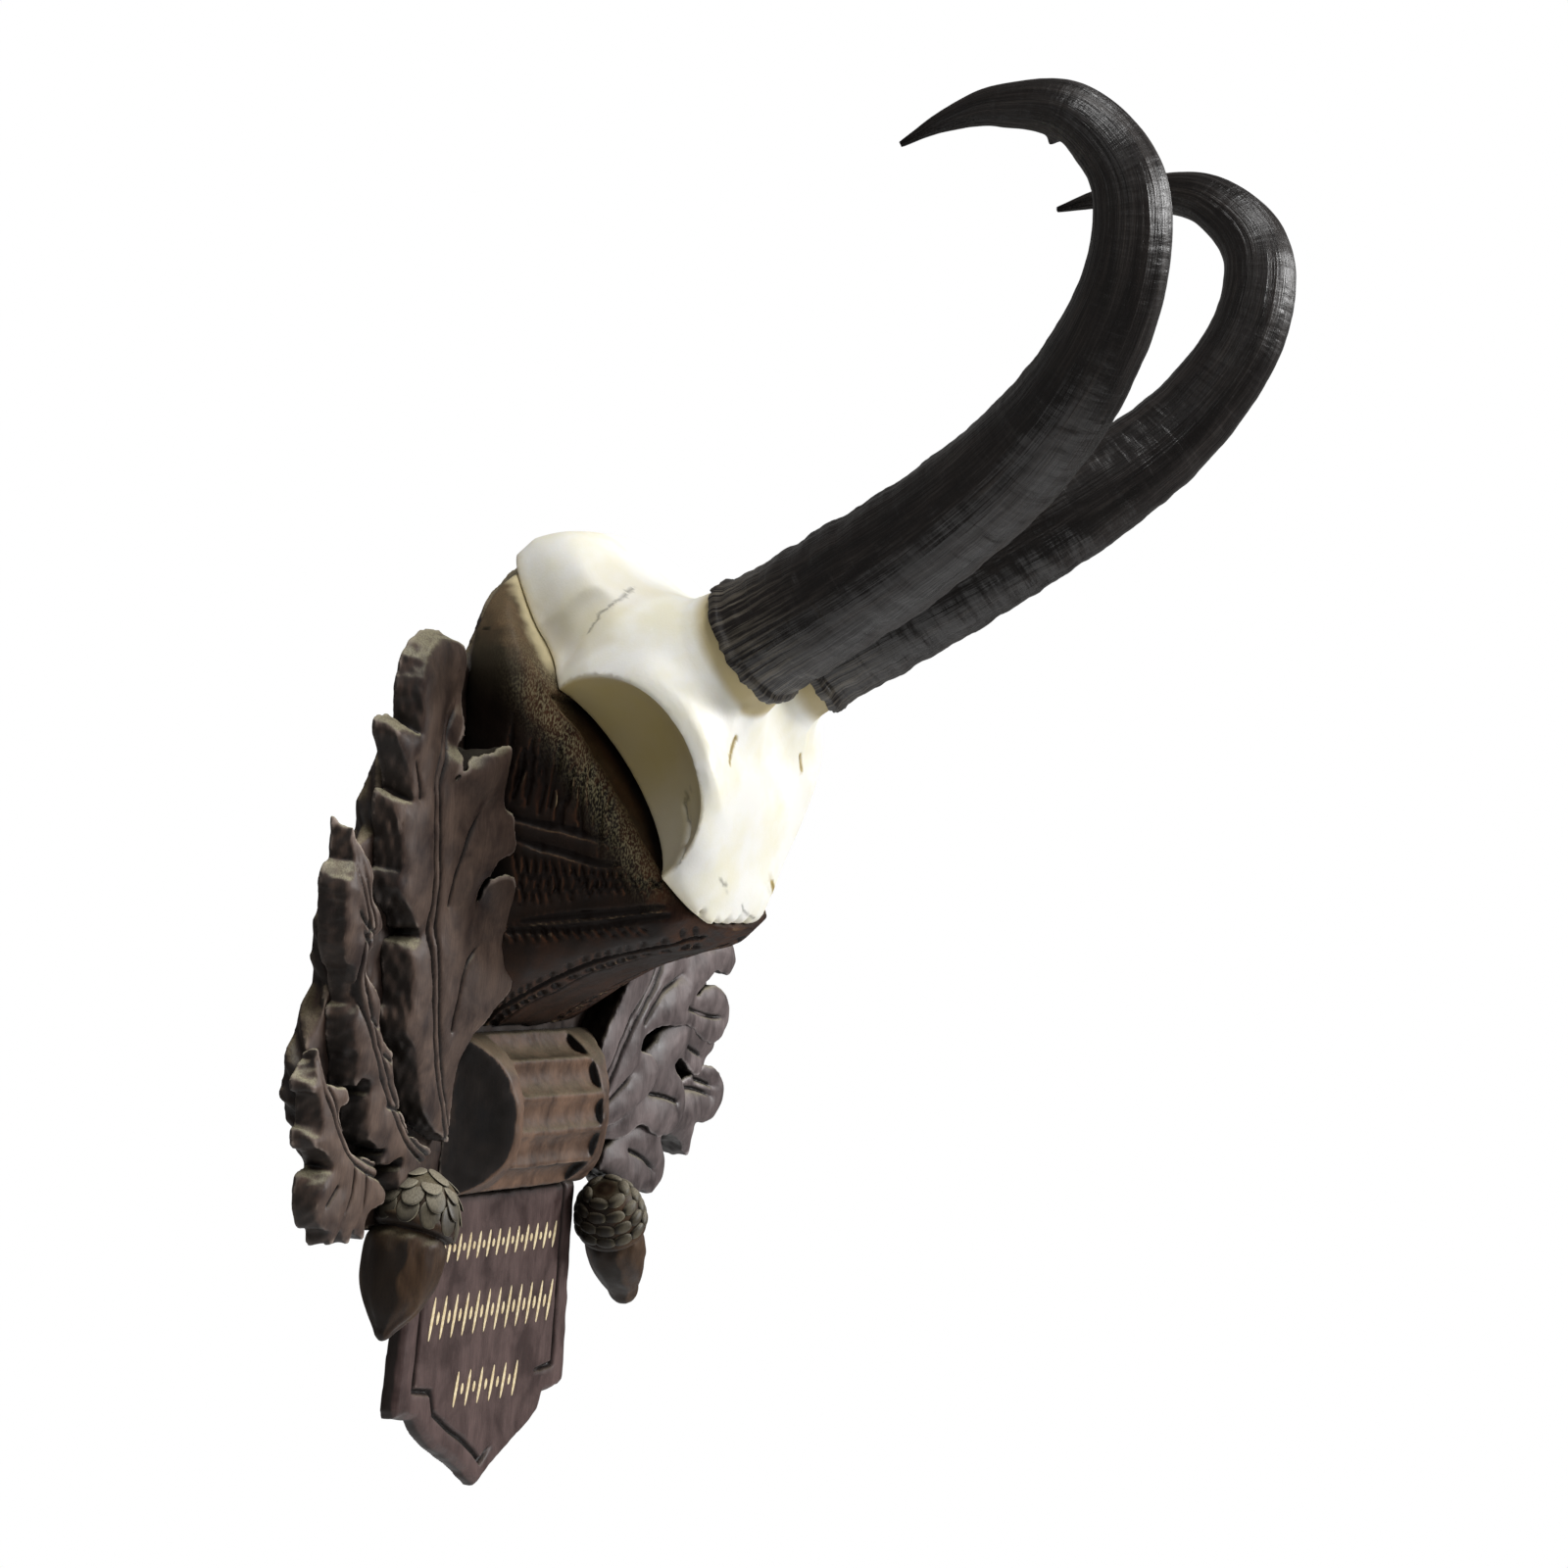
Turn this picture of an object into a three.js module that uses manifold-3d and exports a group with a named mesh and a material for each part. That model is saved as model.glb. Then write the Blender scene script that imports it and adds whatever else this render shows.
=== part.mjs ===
// Chamois horn mount: the horned skull cap of a chamois on a carved wooden wall board.
// Millimetres. X runs to the viewer's right, +Z is up, and the front faces -Y.
// The origin lies on the flat back of the board, in the mirror plane of the skull.

import * as THREE from 'three';
import { mergeVertices } from 'three/addons/utils/BufferGeometryUtils.js';
import Module from 'manifold-3d';

const wasm = await Module();
wasm.setup();

// Driving sizes
const GAP = 0.3;                // space left between pieces that touch
const BOARD_THICK = 5;          // carved back board
const PLATE_BACK = 1.5;         // the name plate's back stands this far off the wall
const PLATE_FRONT = 4;
const PLATE_FIELD_STEP = 0.8;   // inner field of the plate, sunk below its rim
const LEAF_BACK = BOARD_THICK + GAP;

// The skull rests on a plane that slopes down and forward from the top of the board.
const SLOPE = THREE.MathUtils.degToRad(56);
const SLOPE_TOP = new THREE.Vector3(0, -4, 93);
const DOWN = new THREE.Vector3(0, -Math.cos(SLOPE), -Math.sin(SLOPE));
const OUT = new THREE.Vector3(0, -Math.sin(SLOPE), Math.cos(SLOPE));

// Closed meshes and boolean solids
const WELD = 1e-4;              // points this close are one point
const CUT_DEEPER = 2;           // a cutting shape goes this far past the face that it opens
const WIDE = 250;               // wider than the whole mount

// Finishes
const FINISHES = {
  wood: { color: '#4a3a34', roughness: 0.72, metalness: 0 },
  seat: { color: '#54443a', roughness: 0.75, metalness: 0 },
  leaf: { color: '#574740', roughness: 0.68, metalness: 0 },
  plate: { color: '#40302c', roughness: 0.7, metalness: 0 },
  acorn: { color: '#4f4138', roughness: 0.66, metalness: 0 },
  bone: { color: '#eae4d0', roughness: 0.55, metalness: 0 },
  horn: { color: '#1d1b1b', roughness: 0.38, metalness: 0 },
};

const mount = new THREE.Group();

function addPiece(name, solid, finish) {
  const mesh = new THREE.Mesh(toGeometry(solid), new THREE.MeshStandardMaterial(FINISHES[finish]));
  mesh.name = name;
  mount.add(mesh);
}

function toGeometry(solid) {
  const mesh = solid.getMesh();
  const geometry = new THREE.BufferGeometry();
  geometry.setAttribute('position', new THREE.BufferAttribute(mesh.vertProperties, 3));
  geometry.setIndex(new THREE.BufferAttribute(mesh.triVerts, 1));
  geometry.computeVertexNormals();
  return geometry;
}

// A shape whose faces point inwards has a negative volume, and is turned over.
function toSolid(geometry) {
  const plain = geometry.index ? geometry.toNonIndexed() : geometry.clone();
  plain.deleteAttribute('normal');
  plain.deleteAttribute('uv');
  const merged = mergeVertices(plain, WELD);
  const vertProperties = new Float32Array(merged.attributes.position.array);
  const triVerts = new Uint32Array(merged.index.array);
  const solid = new wasm.Manifold(new wasm.Mesh({ numProp: 3, vertProperties, triVerts }));
  if (solid.volume() > 0) return solid;
  triVerts.reverse();
  return new wasm.Manifold(new wasm.Mesh({ numProp: 3, vertProperties, triVerts }));
}

// Slivers that a cut leaves beside the main body are dropped.
function largest(solid) {
  return solid.decompose().reduce((a, b) => (a.volume() > b.volume() ? a : b));
}

// Solid through rings of points that all run the same way round, closed at both ends.
function loft(rings) {
  const sides = rings[0].length;
  const points = rings.flat();
  const faces = [];
  for (let i = 0; i < points.length - sides; i++) {
    const next = (i + 1) % sides ? i + 1 : i + 1 - sides;
    faces.push(i, next, next + sides, i, next + sides, i + sides);
  }
  for (const ring of [rings[0], rings.at(-1)]) {
    const first = points.indexOf(ring[0]);
    const centre = ring.reduce((sum, p) => sum.add(p), new THREE.Vector3()).divideScalar(sides);
    const middle = points.push(centre) - 1;
    for (let i = 0; i < sides; i++) {
      const edge = [first + i, first + (i + 1) % sides];
      faces.push(...(first ? edge : edge.reverse()), middle);
    }
  }
  const geometry = new THREE.BufferGeometry().setFromPoints(points);
  geometry.setIndex(faces);
  return toSolid(geometry);
}

// Solid between two copies of an outline of (x, z), at y = -back and y = -front.
function slab(outline, back, front) {
  const shape = new THREE.Shape(outline.map(([x, z]) => new THREE.Vector2(x, z)));
  const geometry = new THREE.ExtrudeGeometry(shape, { depth: front - back, bevelEnabled: false });
  geometry.rotateX(Math.PI / 2);
  geometry.translate(0, -back, 0);
  return toSolid(geometry);
}

function mirrored(half) {
  const inner = half.filter(([x]) => x > 0);
  return [...half, ...inner.reverse().map(([x, z]) => [-x, z])];
}

// Smooth line through points given for the right side; side is -1 for the viewer's left.
function lineThrough(path, side) {
  return new THREE.CatmullRomCurve3(path.map(([x, y, z]) => new THREE.Vector3(side * x, y, z)));
}

// Ring of points round a line. Its first point lies straight across the mount.
function circle(centre, along, radius, sides) {
  const across = new THREE.Vector3(1, 0, 0).addScaledVector(along, -along.x).normalize();
  const up = along.clone().cross(across);
  return Array.from({ length: sides }, (_, i) => {
    const angle = 2 * Math.PI * i / sides;
    const point = centre.clone().addScaledVector(across, radius * Math.cos(angle));
    return point.addScaledVector(up, radius * Math.sin(angle));
  });
}

// Place on the skull's plane: x across, v down the slope, h out from it.
function onSlope(x, v, h) {
  return new THREE.Vector3(x, 0, 0).add(SLOPE_TOP).addScaledVector(DOWN, v).addScaledVector(OUT, h);
}

// Frame whose x axis runs across, y up the slope and z out from it.
function slopeFrame(height) {
  const frame = new THREE.Matrix4().makeBasis(new THREE.Vector3(1, 0, 0), DOWN.clone().negate(), OUT);
  return frame.setPosition(onSlope(0, 0, height));
}

// Board

// Half outline from the middle of the top, down the side, to the middle of the bottom.
const BOARD_HALF = [
  [0, 92], [9, 91.8], [15, 89.5], [21, 85], [26.5, 78.5], [33, 71], [37, 65], [41, 70], [45, 73.5],
  [50, 73.5], [54, 70], [59, 63], [66, 54], [72, 48], [76, 41], [77, 35], [83, 31], [89, 21],
  [91, 13], [89, 4], [94, -3], [98, -12], [98, -19], [91, -27], [84, -35], [78, -42], [70, -46],
  [58, -47], [50, -42], [42, -40.5], [0, -40.5],
];

// The board's top edge is cut along the slope, just under the skull.
function board() {
  const above = new THREE.BoxGeometry(WIDE, WIDE, WIDE);
  above.translate(0, 0, WIDE / 2);
  above.applyMatrix4(slopeFrame(-GAP));
  return slab(mirrored(BOARD_HALF), 0, BOARD_THICK).subtract(toSolid(above));
}

// Name plate

// Half outlines from the middle of the top to the tip, of the plate and of the field inside its rim.
const PLATE_HALF = [
  [0, -40.8], [39, -40.8], [40, -60], [42, -85], [41, -87], [31.5, -88], [28, -92], [22, -95.2],
  [13.5, -98.6], [6, -102], [0, -105.5],
];
const FIELD_HALF = [
  [0, -36], [34.5, -36], [35.3, -60], [36.8, -82], [26.5, -83.4], [24.5, -87.5], [18.5, -91], [9, -95],
  [3.5, -98], [0, -100.6],
];
const TIP_FROM = -88;           // below this height the plate narrows to its tip
const TIP_SHIFT = 1.5;          // and the tip sits a little to the right of the plate's middle

function plateOutline(half) {
  return mirrored(half).map(([x, z]) => [z < TIP_FROM ? x + TIP_SHIFT : x, z]);
}

function namePlate() {
  const whole = slab(plateOutline(PLATE_HALF), PLATE_BACK, PLATE_FRONT);
  const field = slab(plateOutline(FIELD_HALF), PLATE_FRONT - PLATE_FIELD_STEP, PLATE_FRONT + CUT_DEEPER);
  return whole.subtract(field);
}

// Seat that carries the skull, from the board out to the slope

// Half outlines with matching points: on the slope as (x, v), and on the board as (x, z).
const SEAT_TOP = [
  [0, 2.6], [12, 2.6], [22, 3.2], [29, 6.5], [35, 11.5], [39, 17], [41.5, 24], [41.5, 31],
  [38.5, 38], [34, 46], [31.5, 57], [30, 69], [28, 79], [23.5, 85.5], [13, 88.5], [0, 89],
];
const SEAT_BACK = [
  [0, 90.3], [12, 90.3], [20, 89.5], [26, 86], [29.5, 81.5], [31.5, 77], [33, 71], [34.5, 63],
  [36.5, 53], [38, 42], [39, 30], [39.5, 18], [39, 5], [34, -3], [18, -6], [0, -6.3],
];
// The face under the skull's edge. It grows from nothing at the first place down the slope to its
// full height at the second, and its foot is a little wider than its top.
const LIP = { height: 8, from: 2.6, full: 50, flare: 1.02 };

function seat() {
  const back = mirrored(SEAT_BACK).map(([x, z]) => new THREE.Vector3(x, -LEAF_BACK, z));
  const foot = mirrored(SEAT_TOP).map(([x, v]) => {
    const height = LIP.height * THREE.MathUtils.smoothstep(v, LIP.from, LIP.full);
    return onSlope(x * LIP.flare, v, -GAP - height);
  });
  const top = mirrored(SEAT_TOP).map(([x, v]) => onSlope(x, v, -GAP));
  return loft([back, foot, top]);
}

// Fluted scroll between the seat and the name plate

const SCROLL_HALF = 23.5;       // half its length
const SCROLL_RIDGES = [         // (y, z) of the edges between the flutes
  [-6.5, -7.4], [-13.5, -12.5], [-16.8, -20], [-17.2, -27.5], [-15.2, -34.5], [-9, -40],
];
const FLUTE_DEPTH = 1.5;
const FLUTE_STEPS = 5;

function scroll() {
  const shape = new THREE.Shape();
  shape.moveTo(-LEAF_BACK, SCROLL_RIDGES[0][1]);
  shape.lineTo(...SCROLL_RIDGES[0]);
  for (let i = 1; i < SCROLL_RIDGES.length; i++) {
    const [y0, z0] = SCROLL_RIDGES[i - 1];
    const [y, z] = SCROLL_RIDGES[i];
    const sink = 2 * FLUTE_DEPTH / Math.hypot(y - y0, z - z0);
    const deepest = [(y + y0) / 2 + (z0 - z) * sink, (z + z0) / 2 + (y - y0) * sink];
    shape.quadraticCurveTo(...deepest, y, z);
  }
  shape.lineTo(-LEAF_BACK, SCROLL_RIDGES.at(-1)[1]);
  const geometry = new THREE.ExtrudeGeometry(shape, {
    depth: 2 * SCROLL_HALF, bevelEnabled: false, curveSegments: FLUTE_STEPS,
  });
  // The section is drawn in (y, z), and its depth becomes x.
  const turn = new THREE.Matrix4().set(0, 0, 1, -SCROLL_HALF, 1, 0, 0, 0, 0, 1, 0, 0, 0, 0, 0, 1);
  geometry.applyMatrix4(turn);
  return toSolid(geometry);
}

// Oak leaves, one shape with different midribs and lobes

// rib: middle line from stem to tip. outer and inner: [share of the rib's length, half width], on the
// side away from the middle of the board and on the side towards it. fall and rise: how much each of
// those sides drops back towards the board for each millimetre of its width.
const LEAVES = {
  tall: {
    rib: [
      [28, -7, -31], [34, -8.6, -24.5], [41.5, -9.8, -14.5], [48.5, -10.8, -4.5], [53.7, -11.5, 5],
      [57, -11.5, 15], [58, -10.8, 25], [58, -10, 34.6], [56.5, -9, 44.5], [51.5, -8, 54.5],
      [48.5, -7.4, 62], [47, -7, 73],
    ],
    outer: [
      [0, 1.5], [0.08, 4], [0.15, 9], [0.25, 13], [0.29, 9.5], [0.36, 11], [0.41, 10.5], [0.45, 5],
      [0.5, 13], [0.56, 10], [0.63, 16], [0.69, 7], [0.75, 19], [0.8, 10], [0.88, 8], [0.95, 5], [1, 0.8],
    ],
    inner: [
      [0, 1.2], [0.18, 2], [0.23, 9], [0.29, 18], [0.37, 22], [0.45, 21], [0.5, 19], [0.535, 8],
      [0.62, 11], [0.72, 15], [0.8, 16], [0.84, 5], [0.9, 5.5], [0.95, 4.5], [1, 0.8],
    ],
    fall: 0.15,
    rise: 0.34,
  },
  middle: {
    rib: [[42, -8, -33], [55, -10, -27], [66, -11, -15], [75, -11, -3], [84, -10.8, 12], [93, -10, 33]],
    outer: [
      [0, 1.5], [0.08, 9], [0.16, 14], [0.22, 10], [0.3, 16], [0.37, 9], [0.45, 15], [0.52, 9],
      [0.6, 15], [0.68, 8], [0.78, 10], [0.86, 6], [0.94, 4], [1, 0.8],
    ],
    inner: [
      [0, 1.5], [0.15, 8], [0.24, 5], [0.36, 12], [0.44, 6], [0.56, 12], [0.64, 6], [0.76, 9],
      [0.84, 4.5], [0.93, 4], [1, 0.8],
    ],
    fall: 0,
    rise: 0,
  },
  low: {
    rib: [[45, -8, -37], [60, -10, -39], [76, -11, -35], [89, -11, -23], [99, -10, -6]],
    outer: [
      [0, 1.5], [0.15, 7], [0.25, 11], [0.32, 6], [0.42, 12], [0.5, 6], [0.6, 11], [0.68, 5],
      [0.78, 7], [0.88, 4], [1, 0.8],
    ],
    inner: [
      [0, 1.5], [0.2, 6], [0.35, 12], [0.42, 7], [0.55, 13], [0.62, 7], [0.75, 10], [0.82, 5], [1, 0.8],
    ],
    fall: 0,
    rise: 0,
  },
};
// The low leaf on the right is narrower on its outer side than its mate.
const LOW_RIGHT_OUTER = [
  [0, 1.5], [0.12, 7], [0.2, 4], [0.32, 9], [0.4, 4], [0.52, 9], [0.62, 4], [0.72, 9], [0.84, 5], [1, 0.8],
];
const LEAF_ACROSS = [-1, -0.55, 0, 0.55, 1];   // places across a leaf, from inner to outer edge
const LEAF_SWEEP = 0.45;        // how far a lobe leans towards the tip
const LEAF_PUFF = 1.2;          // how far each half bulges between rib and edge
const LEAF_MIN = 1.5;           // least thickness

function widthAt(outline, s) {
  const k = Math.max(1, outline.findIndex(([at]) => at >= s));
  const [s0, w0] = outline[k - 1];
  const [s1, w1] = outline[k];
  return THREE.MathUtils.lerp(w0, w1, (s - s0) / (s1 - s0));
}

// grow widens the leaf and thickens its back, to cut what lies under it.
function leaf({ rib, outer, inner, fall, rise }, side, grow = 0) {
  const line = lineThrough(rib, side);
  const back = grow ? CUT_DEEPER - LEAF_BACK : -LEAF_BACK;
  const stations = [...new Set([...outer, ...inner].map(([s]) => s))].sort((a, b) => a - b);
  const rings = stations.map((s) => {
    const middle = line.getPointAt(s);
    const along = line.getTangentAt(s).setY(0).normalize();
    const away = new THREE.Vector3(along.z, 0, -along.x).multiplyScalar(side);
    const ring = LEAF_ACROSS.map((across) => {
      const reach = across * (widthAt(across > 0 ? outer : inner, s) + grow);
      const sweep = Math.abs(reach) * LEAF_SWEEP * Math.sin(Math.PI * s);
      const point = middle.clone().addScaledVector(away, reach).addScaledVector(along, sweep);
      const drop = (across > 0 ? fall : rise) * reach;
      const puff = Math.abs(across) % 1 ? LEAF_PUFF : 0;
      point.y = Math.min(middle.y + drop - puff, -LEAF_BACK - LEAF_MIN) - grow;
      return point;
    });
    const feet = [ring.at(-1), ring[0]].map((p) => new THREE.Vector3(p.x, back, p.z));
    return [...ring, ...feet];
  });
  return loft(rings);
}

// Acorns

// Middle of the cup's top, and tip of the nut. The right one leans out more.
const ACORNS = {
  left: { top: [-50, -10.5, -34.5], tip: [-61, -9, -68] },
  right: { top: [42.5, -10.8, -40], tip: [60.5, -9, -68] },
};
// Radius, and share of the acorn's length from the top of the cup.
const ACORN_PROFILE = [
  [0, 0], [3.8, 0.01], [6.6, 0.07], [8.3, 0.18], [8.7, 0.29], [8.3, 0.34], [7.5, 0.35], [7.6, 0.44],
  [7.4, 0.58], [6.6, 0.71], [4.9, 0.84], [2.6, 0.93], [1.1, 0.97], [0, 1],
];
const ACORN_SIDES = 18;

function acorn(name, grow = 0) {
  const top = new THREE.Vector3(...ACORNS[name].top);
  const down = new THREE.Vector3(...ACORNS[name].tip).sub(top);
  const length = down.length();
  const outline = ACORN_PROFILE.map(([r, share]) => new THREE.Vector2(r && r + grow, -share * length));
  outline[0].y += grow;
  outline.at(-1).y -= grow;
  const geometry = new THREE.LatheGeometry(outline, ACORN_SIDES);
  const turn = new THREE.Quaternion().setFromUnitVectors(new THREE.Vector3(0, -1, 0), down.normalize());
  geometry.applyQuaternion(turn);
  geometry.translate(top.x, top.y, top.z);
  return toSolid(geometry);
}

// Skull cap

// Cross sections down the slope: v, then half a profile of (x, h) from the cut edge to the middle.
const SKULL_SECTIONS = [
  [-1, [17.5, 0], [17, 4.5], [14, 7.5], [8, 9], [0, 9.4]],
  [4, [23, 0], [23, 7], [19.5, 11.5], [11, 13.8], [0, 14.2]],
  [11, [27, 0], [27.3, 9], [24, 14.5], [14, 17.8], [0, 18.2]],
  [20, [29, 0], [29.5, 9], [26.5, 16], [16, 21.5], [0, 22]],
  [27, [29.5, 0], [30.5, 9], [28, 17.5], [18, 24.5], [0, 25]],
  [33, [33, 0], [33.8, 9], [30, 20], [20, 27.5], [0, 28]],
  [40, [36, 0], [36.5, 18], [30, 24], [20, 29.5], [0, 28.5]],
  [46, [37, 0], [37, 21], [30, 25.5], [20, 29.5], [0, 28]],
  [52, [37, 0], [37, 22.5], [30, 25.5], [18, 27.5], [0, 26.5]],
  [60, [36, 0], [35.8, 22.3], [28, 24], [17, 23.5], [0, 23]],
  [66, [34.5, 0], [34.3, 20], [27, 21], [16, 21], [0, 20.5]],
  [72, [32, 0], [32, 11.5], [26, 16], [16, 17], [0, 17]],
  [79, [27, 0], [27.3, 3.5], [22, 9.5], [14, 11], [0, 11.5]],
  [84, [22.5, 0], [22.5, 1.5], [19, 5], [12, 7], [0, 7.5]],
  [87.5, [17, 0], [17, 1], [14, 2], [9, 2.6], [0, 2.8]],
];
const ORBIT = { x: 41, v: 54.5, across: 24.5, along: 25.5, deep: 22, sides: 28, bands: 20 };
const COLLAR = [[-26, 16], [-7, 13.4], [0, 12.6]];   // bone under each horn: height, radius
const COLLAR_SIDES = 24;

function skull() {
  const rings = SKULL_SECTIONS.map(([v, ...half]) => {
    const mate = half.slice(0, -1).reverse().map(([x, h]) => [-x, h]);
    return [...half, ...mate].map(([x, h]) => onSlope(x, v, h));
  });
  let solid = loft(rings);
  for (const side of [-1, 1]) solid = solid.add(collar(side));
  for (const side of [-1, 1]) solid = solid.subtract(orbit(side));
  return solid;
}

// Half an eye socket, opening sideways. It is part of an ellipsoid centred on the skull's plane.
function orbit(side) {
  const hollow = new THREE.SphereGeometry(1, ORBIT.sides, ORBIT.bands);
  hollow.scale(ORBIT.across, ORBIT.along, ORBIT.deep);
  hollow.translate(side * ORBIT.x, -ORBIT.v, 0);
  hollow.applyMatrix4(slopeFrame(0));
  return toSolid(hollow);
}

function collar(side) {
  const line = hornLine(side);
  const along = line.getTangentAt(0);
  const rings = COLLAR.map(([height, radius]) => {
    const centre = line.getPointAt(0).addScaledVector(along, height - GAP);
    return circle(centre, along, radius, COLLAR_SIDES);
  });
  return loft(rings);
}

// Horns, as centre points with radii. The two hooks differ a little.

const HORNS = {
  left: [
    [15.2, -56.3, 78.5, 13.4], [18.5, -75.8, 90.4, 12.8], [22.5, -96.3, 104.1, 12],
    [28, -115.3, 119.4, 11.1], [36, -130, 135.3, 9.7], [41, -139.2, 155.4, 8.2],
    [43.4, -138.7, 174.3, 7.4], [45.4, -127, 186.2, 6.1], [46.9, -112, 187.1, 4],
    [47.8, -101.1, 183.4, 2], [48.4, -92.8, 178.6, 0.5],
  ],
  right: [
    [15.2, -56.4, 77.8, 13.4], [18.6, -75.2, 89.9, 12.8], [22.9, -95.1, 103.3, 11.8],
    [29.5, -113.6, 117.8, 10.6], [37.5, -128, 133, 9.2], [41.7, -138.9, 152.3, 8.1],
    [44.1, -139.3, 170.5, 7.3], [46, -127.3, 181.5, 5.6], [47.2, -112.5, 183, 3.6],
    [47.9, -101.4, 181.2, 2], [48.4, -92.3, 178.7, 0.5],
  ],
};
const HORN_RINGS = 30;
const HORN_SIDES = 16;

function hornLine(side) {
  return lineThrough(side < 0 ? HORNS.left : HORNS.right, side);
}

function horn(side) {
  const line = hornLine(side);
  const radii = (side < 0 ? HORNS.left : HORNS.right).map((station) => station[3]);
  const rings = [];
  for (let i = 0; i <= HORN_RINGS; i++) {
    const t = i / HORN_RINGS;
    const place = t * (radii.length - 1);
    const k = Math.min(Math.floor(place), radii.length - 2);
    const radius = THREE.MathUtils.lerp(radii[k], radii[k + 1], place - k);
    rings.push(circle(line.getPoint(t), line.getTangent(t), radius, HORN_SIDES));
  }
  return loft(rings);
}

// Assembly. What lies on top is cut out of what lies under it, a little wider.

let carvedBoard = board();
let carvedSeat = seat();
let carvedPlate = namePlate();
for (const [name, side] of [['left', -1], ['right', 1]]) {
  const acornSpace = acorn(name, GAP);
  let above = acornSpace;
  for (const place of ['tall', 'middle', 'low']) {
    const outer = place === 'low' && side > 0 ? LOW_RIGHT_OUTER : LEAVES[place].outer;
    const shape = { ...LEAVES[place], outer };
    addPiece(`leaf_${name}_${place}`, largest(leaf(shape, side).subtract(above)), 'leaf');
    above = above.add(leaf(shape, side, GAP));
  }
  carvedBoard = carvedBoard.subtract(acornSpace);
  carvedPlate = carvedPlate.subtract(acornSpace);
  carvedSeat = carvedSeat.subtract(above);
  addPiece(`acorn_${name}`, acorn(name), 'acorn');
  addPiece(`horn_${name}`, horn(side), 'horn');
}
addPiece('board', largest(carvedBoard), 'wood');
addPiece('name_plate', carvedPlate, 'plate');
addPiece('scroll', scroll(), 'wood');
addPiece('skull_seat', largest(carvedSeat), 'seat');
addPiece('skull_cap', skull(), 'bone');

export default mount;
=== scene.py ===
# Chamois horn mount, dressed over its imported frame. Metres; X to the viewer's right, +Z up, front on -Y.
import math
from functools import partial

import bpy
import numpy as np
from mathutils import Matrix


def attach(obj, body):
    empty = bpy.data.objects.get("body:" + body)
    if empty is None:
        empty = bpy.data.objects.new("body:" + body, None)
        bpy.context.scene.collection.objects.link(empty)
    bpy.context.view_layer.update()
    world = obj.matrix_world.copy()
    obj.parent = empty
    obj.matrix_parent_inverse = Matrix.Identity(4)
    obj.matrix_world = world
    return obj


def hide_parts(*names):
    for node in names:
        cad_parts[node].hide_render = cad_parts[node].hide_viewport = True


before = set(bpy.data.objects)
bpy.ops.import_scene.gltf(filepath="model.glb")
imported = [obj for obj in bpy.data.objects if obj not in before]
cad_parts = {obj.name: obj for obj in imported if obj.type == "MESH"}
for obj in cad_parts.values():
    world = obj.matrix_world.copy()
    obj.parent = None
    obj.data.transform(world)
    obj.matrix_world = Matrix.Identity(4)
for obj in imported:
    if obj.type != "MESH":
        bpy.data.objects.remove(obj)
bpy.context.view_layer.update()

import openvdb
from mathutils import Matrix, Vector

# Shared sizes, in millimetres unless a name says otherwise
MM = 0.001
BOARD_THICK = 5.0
SLOPE = math.radians(56)                         # slope of the plane on which the skull rests
SLOPE_TOP = np.array([0.0, -4.0, 93.0])
DOWN = np.array([0.0, -math.cos(SLOPE), -math.sin(SLOPE)])
OUT = np.array([0.0, -math.sin(SLOPE), math.cos(SLOPE)])
COARSER = 1.0             # a trial run carves in bigger steps
HOLLOWNESS_REACH = 0.6                                 # how far round a place its hollowness is judged
FAR = 60.0                                       # distance given to places that nothing has reached


# Carving: material is a grid of signed distances, negative inside

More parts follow.
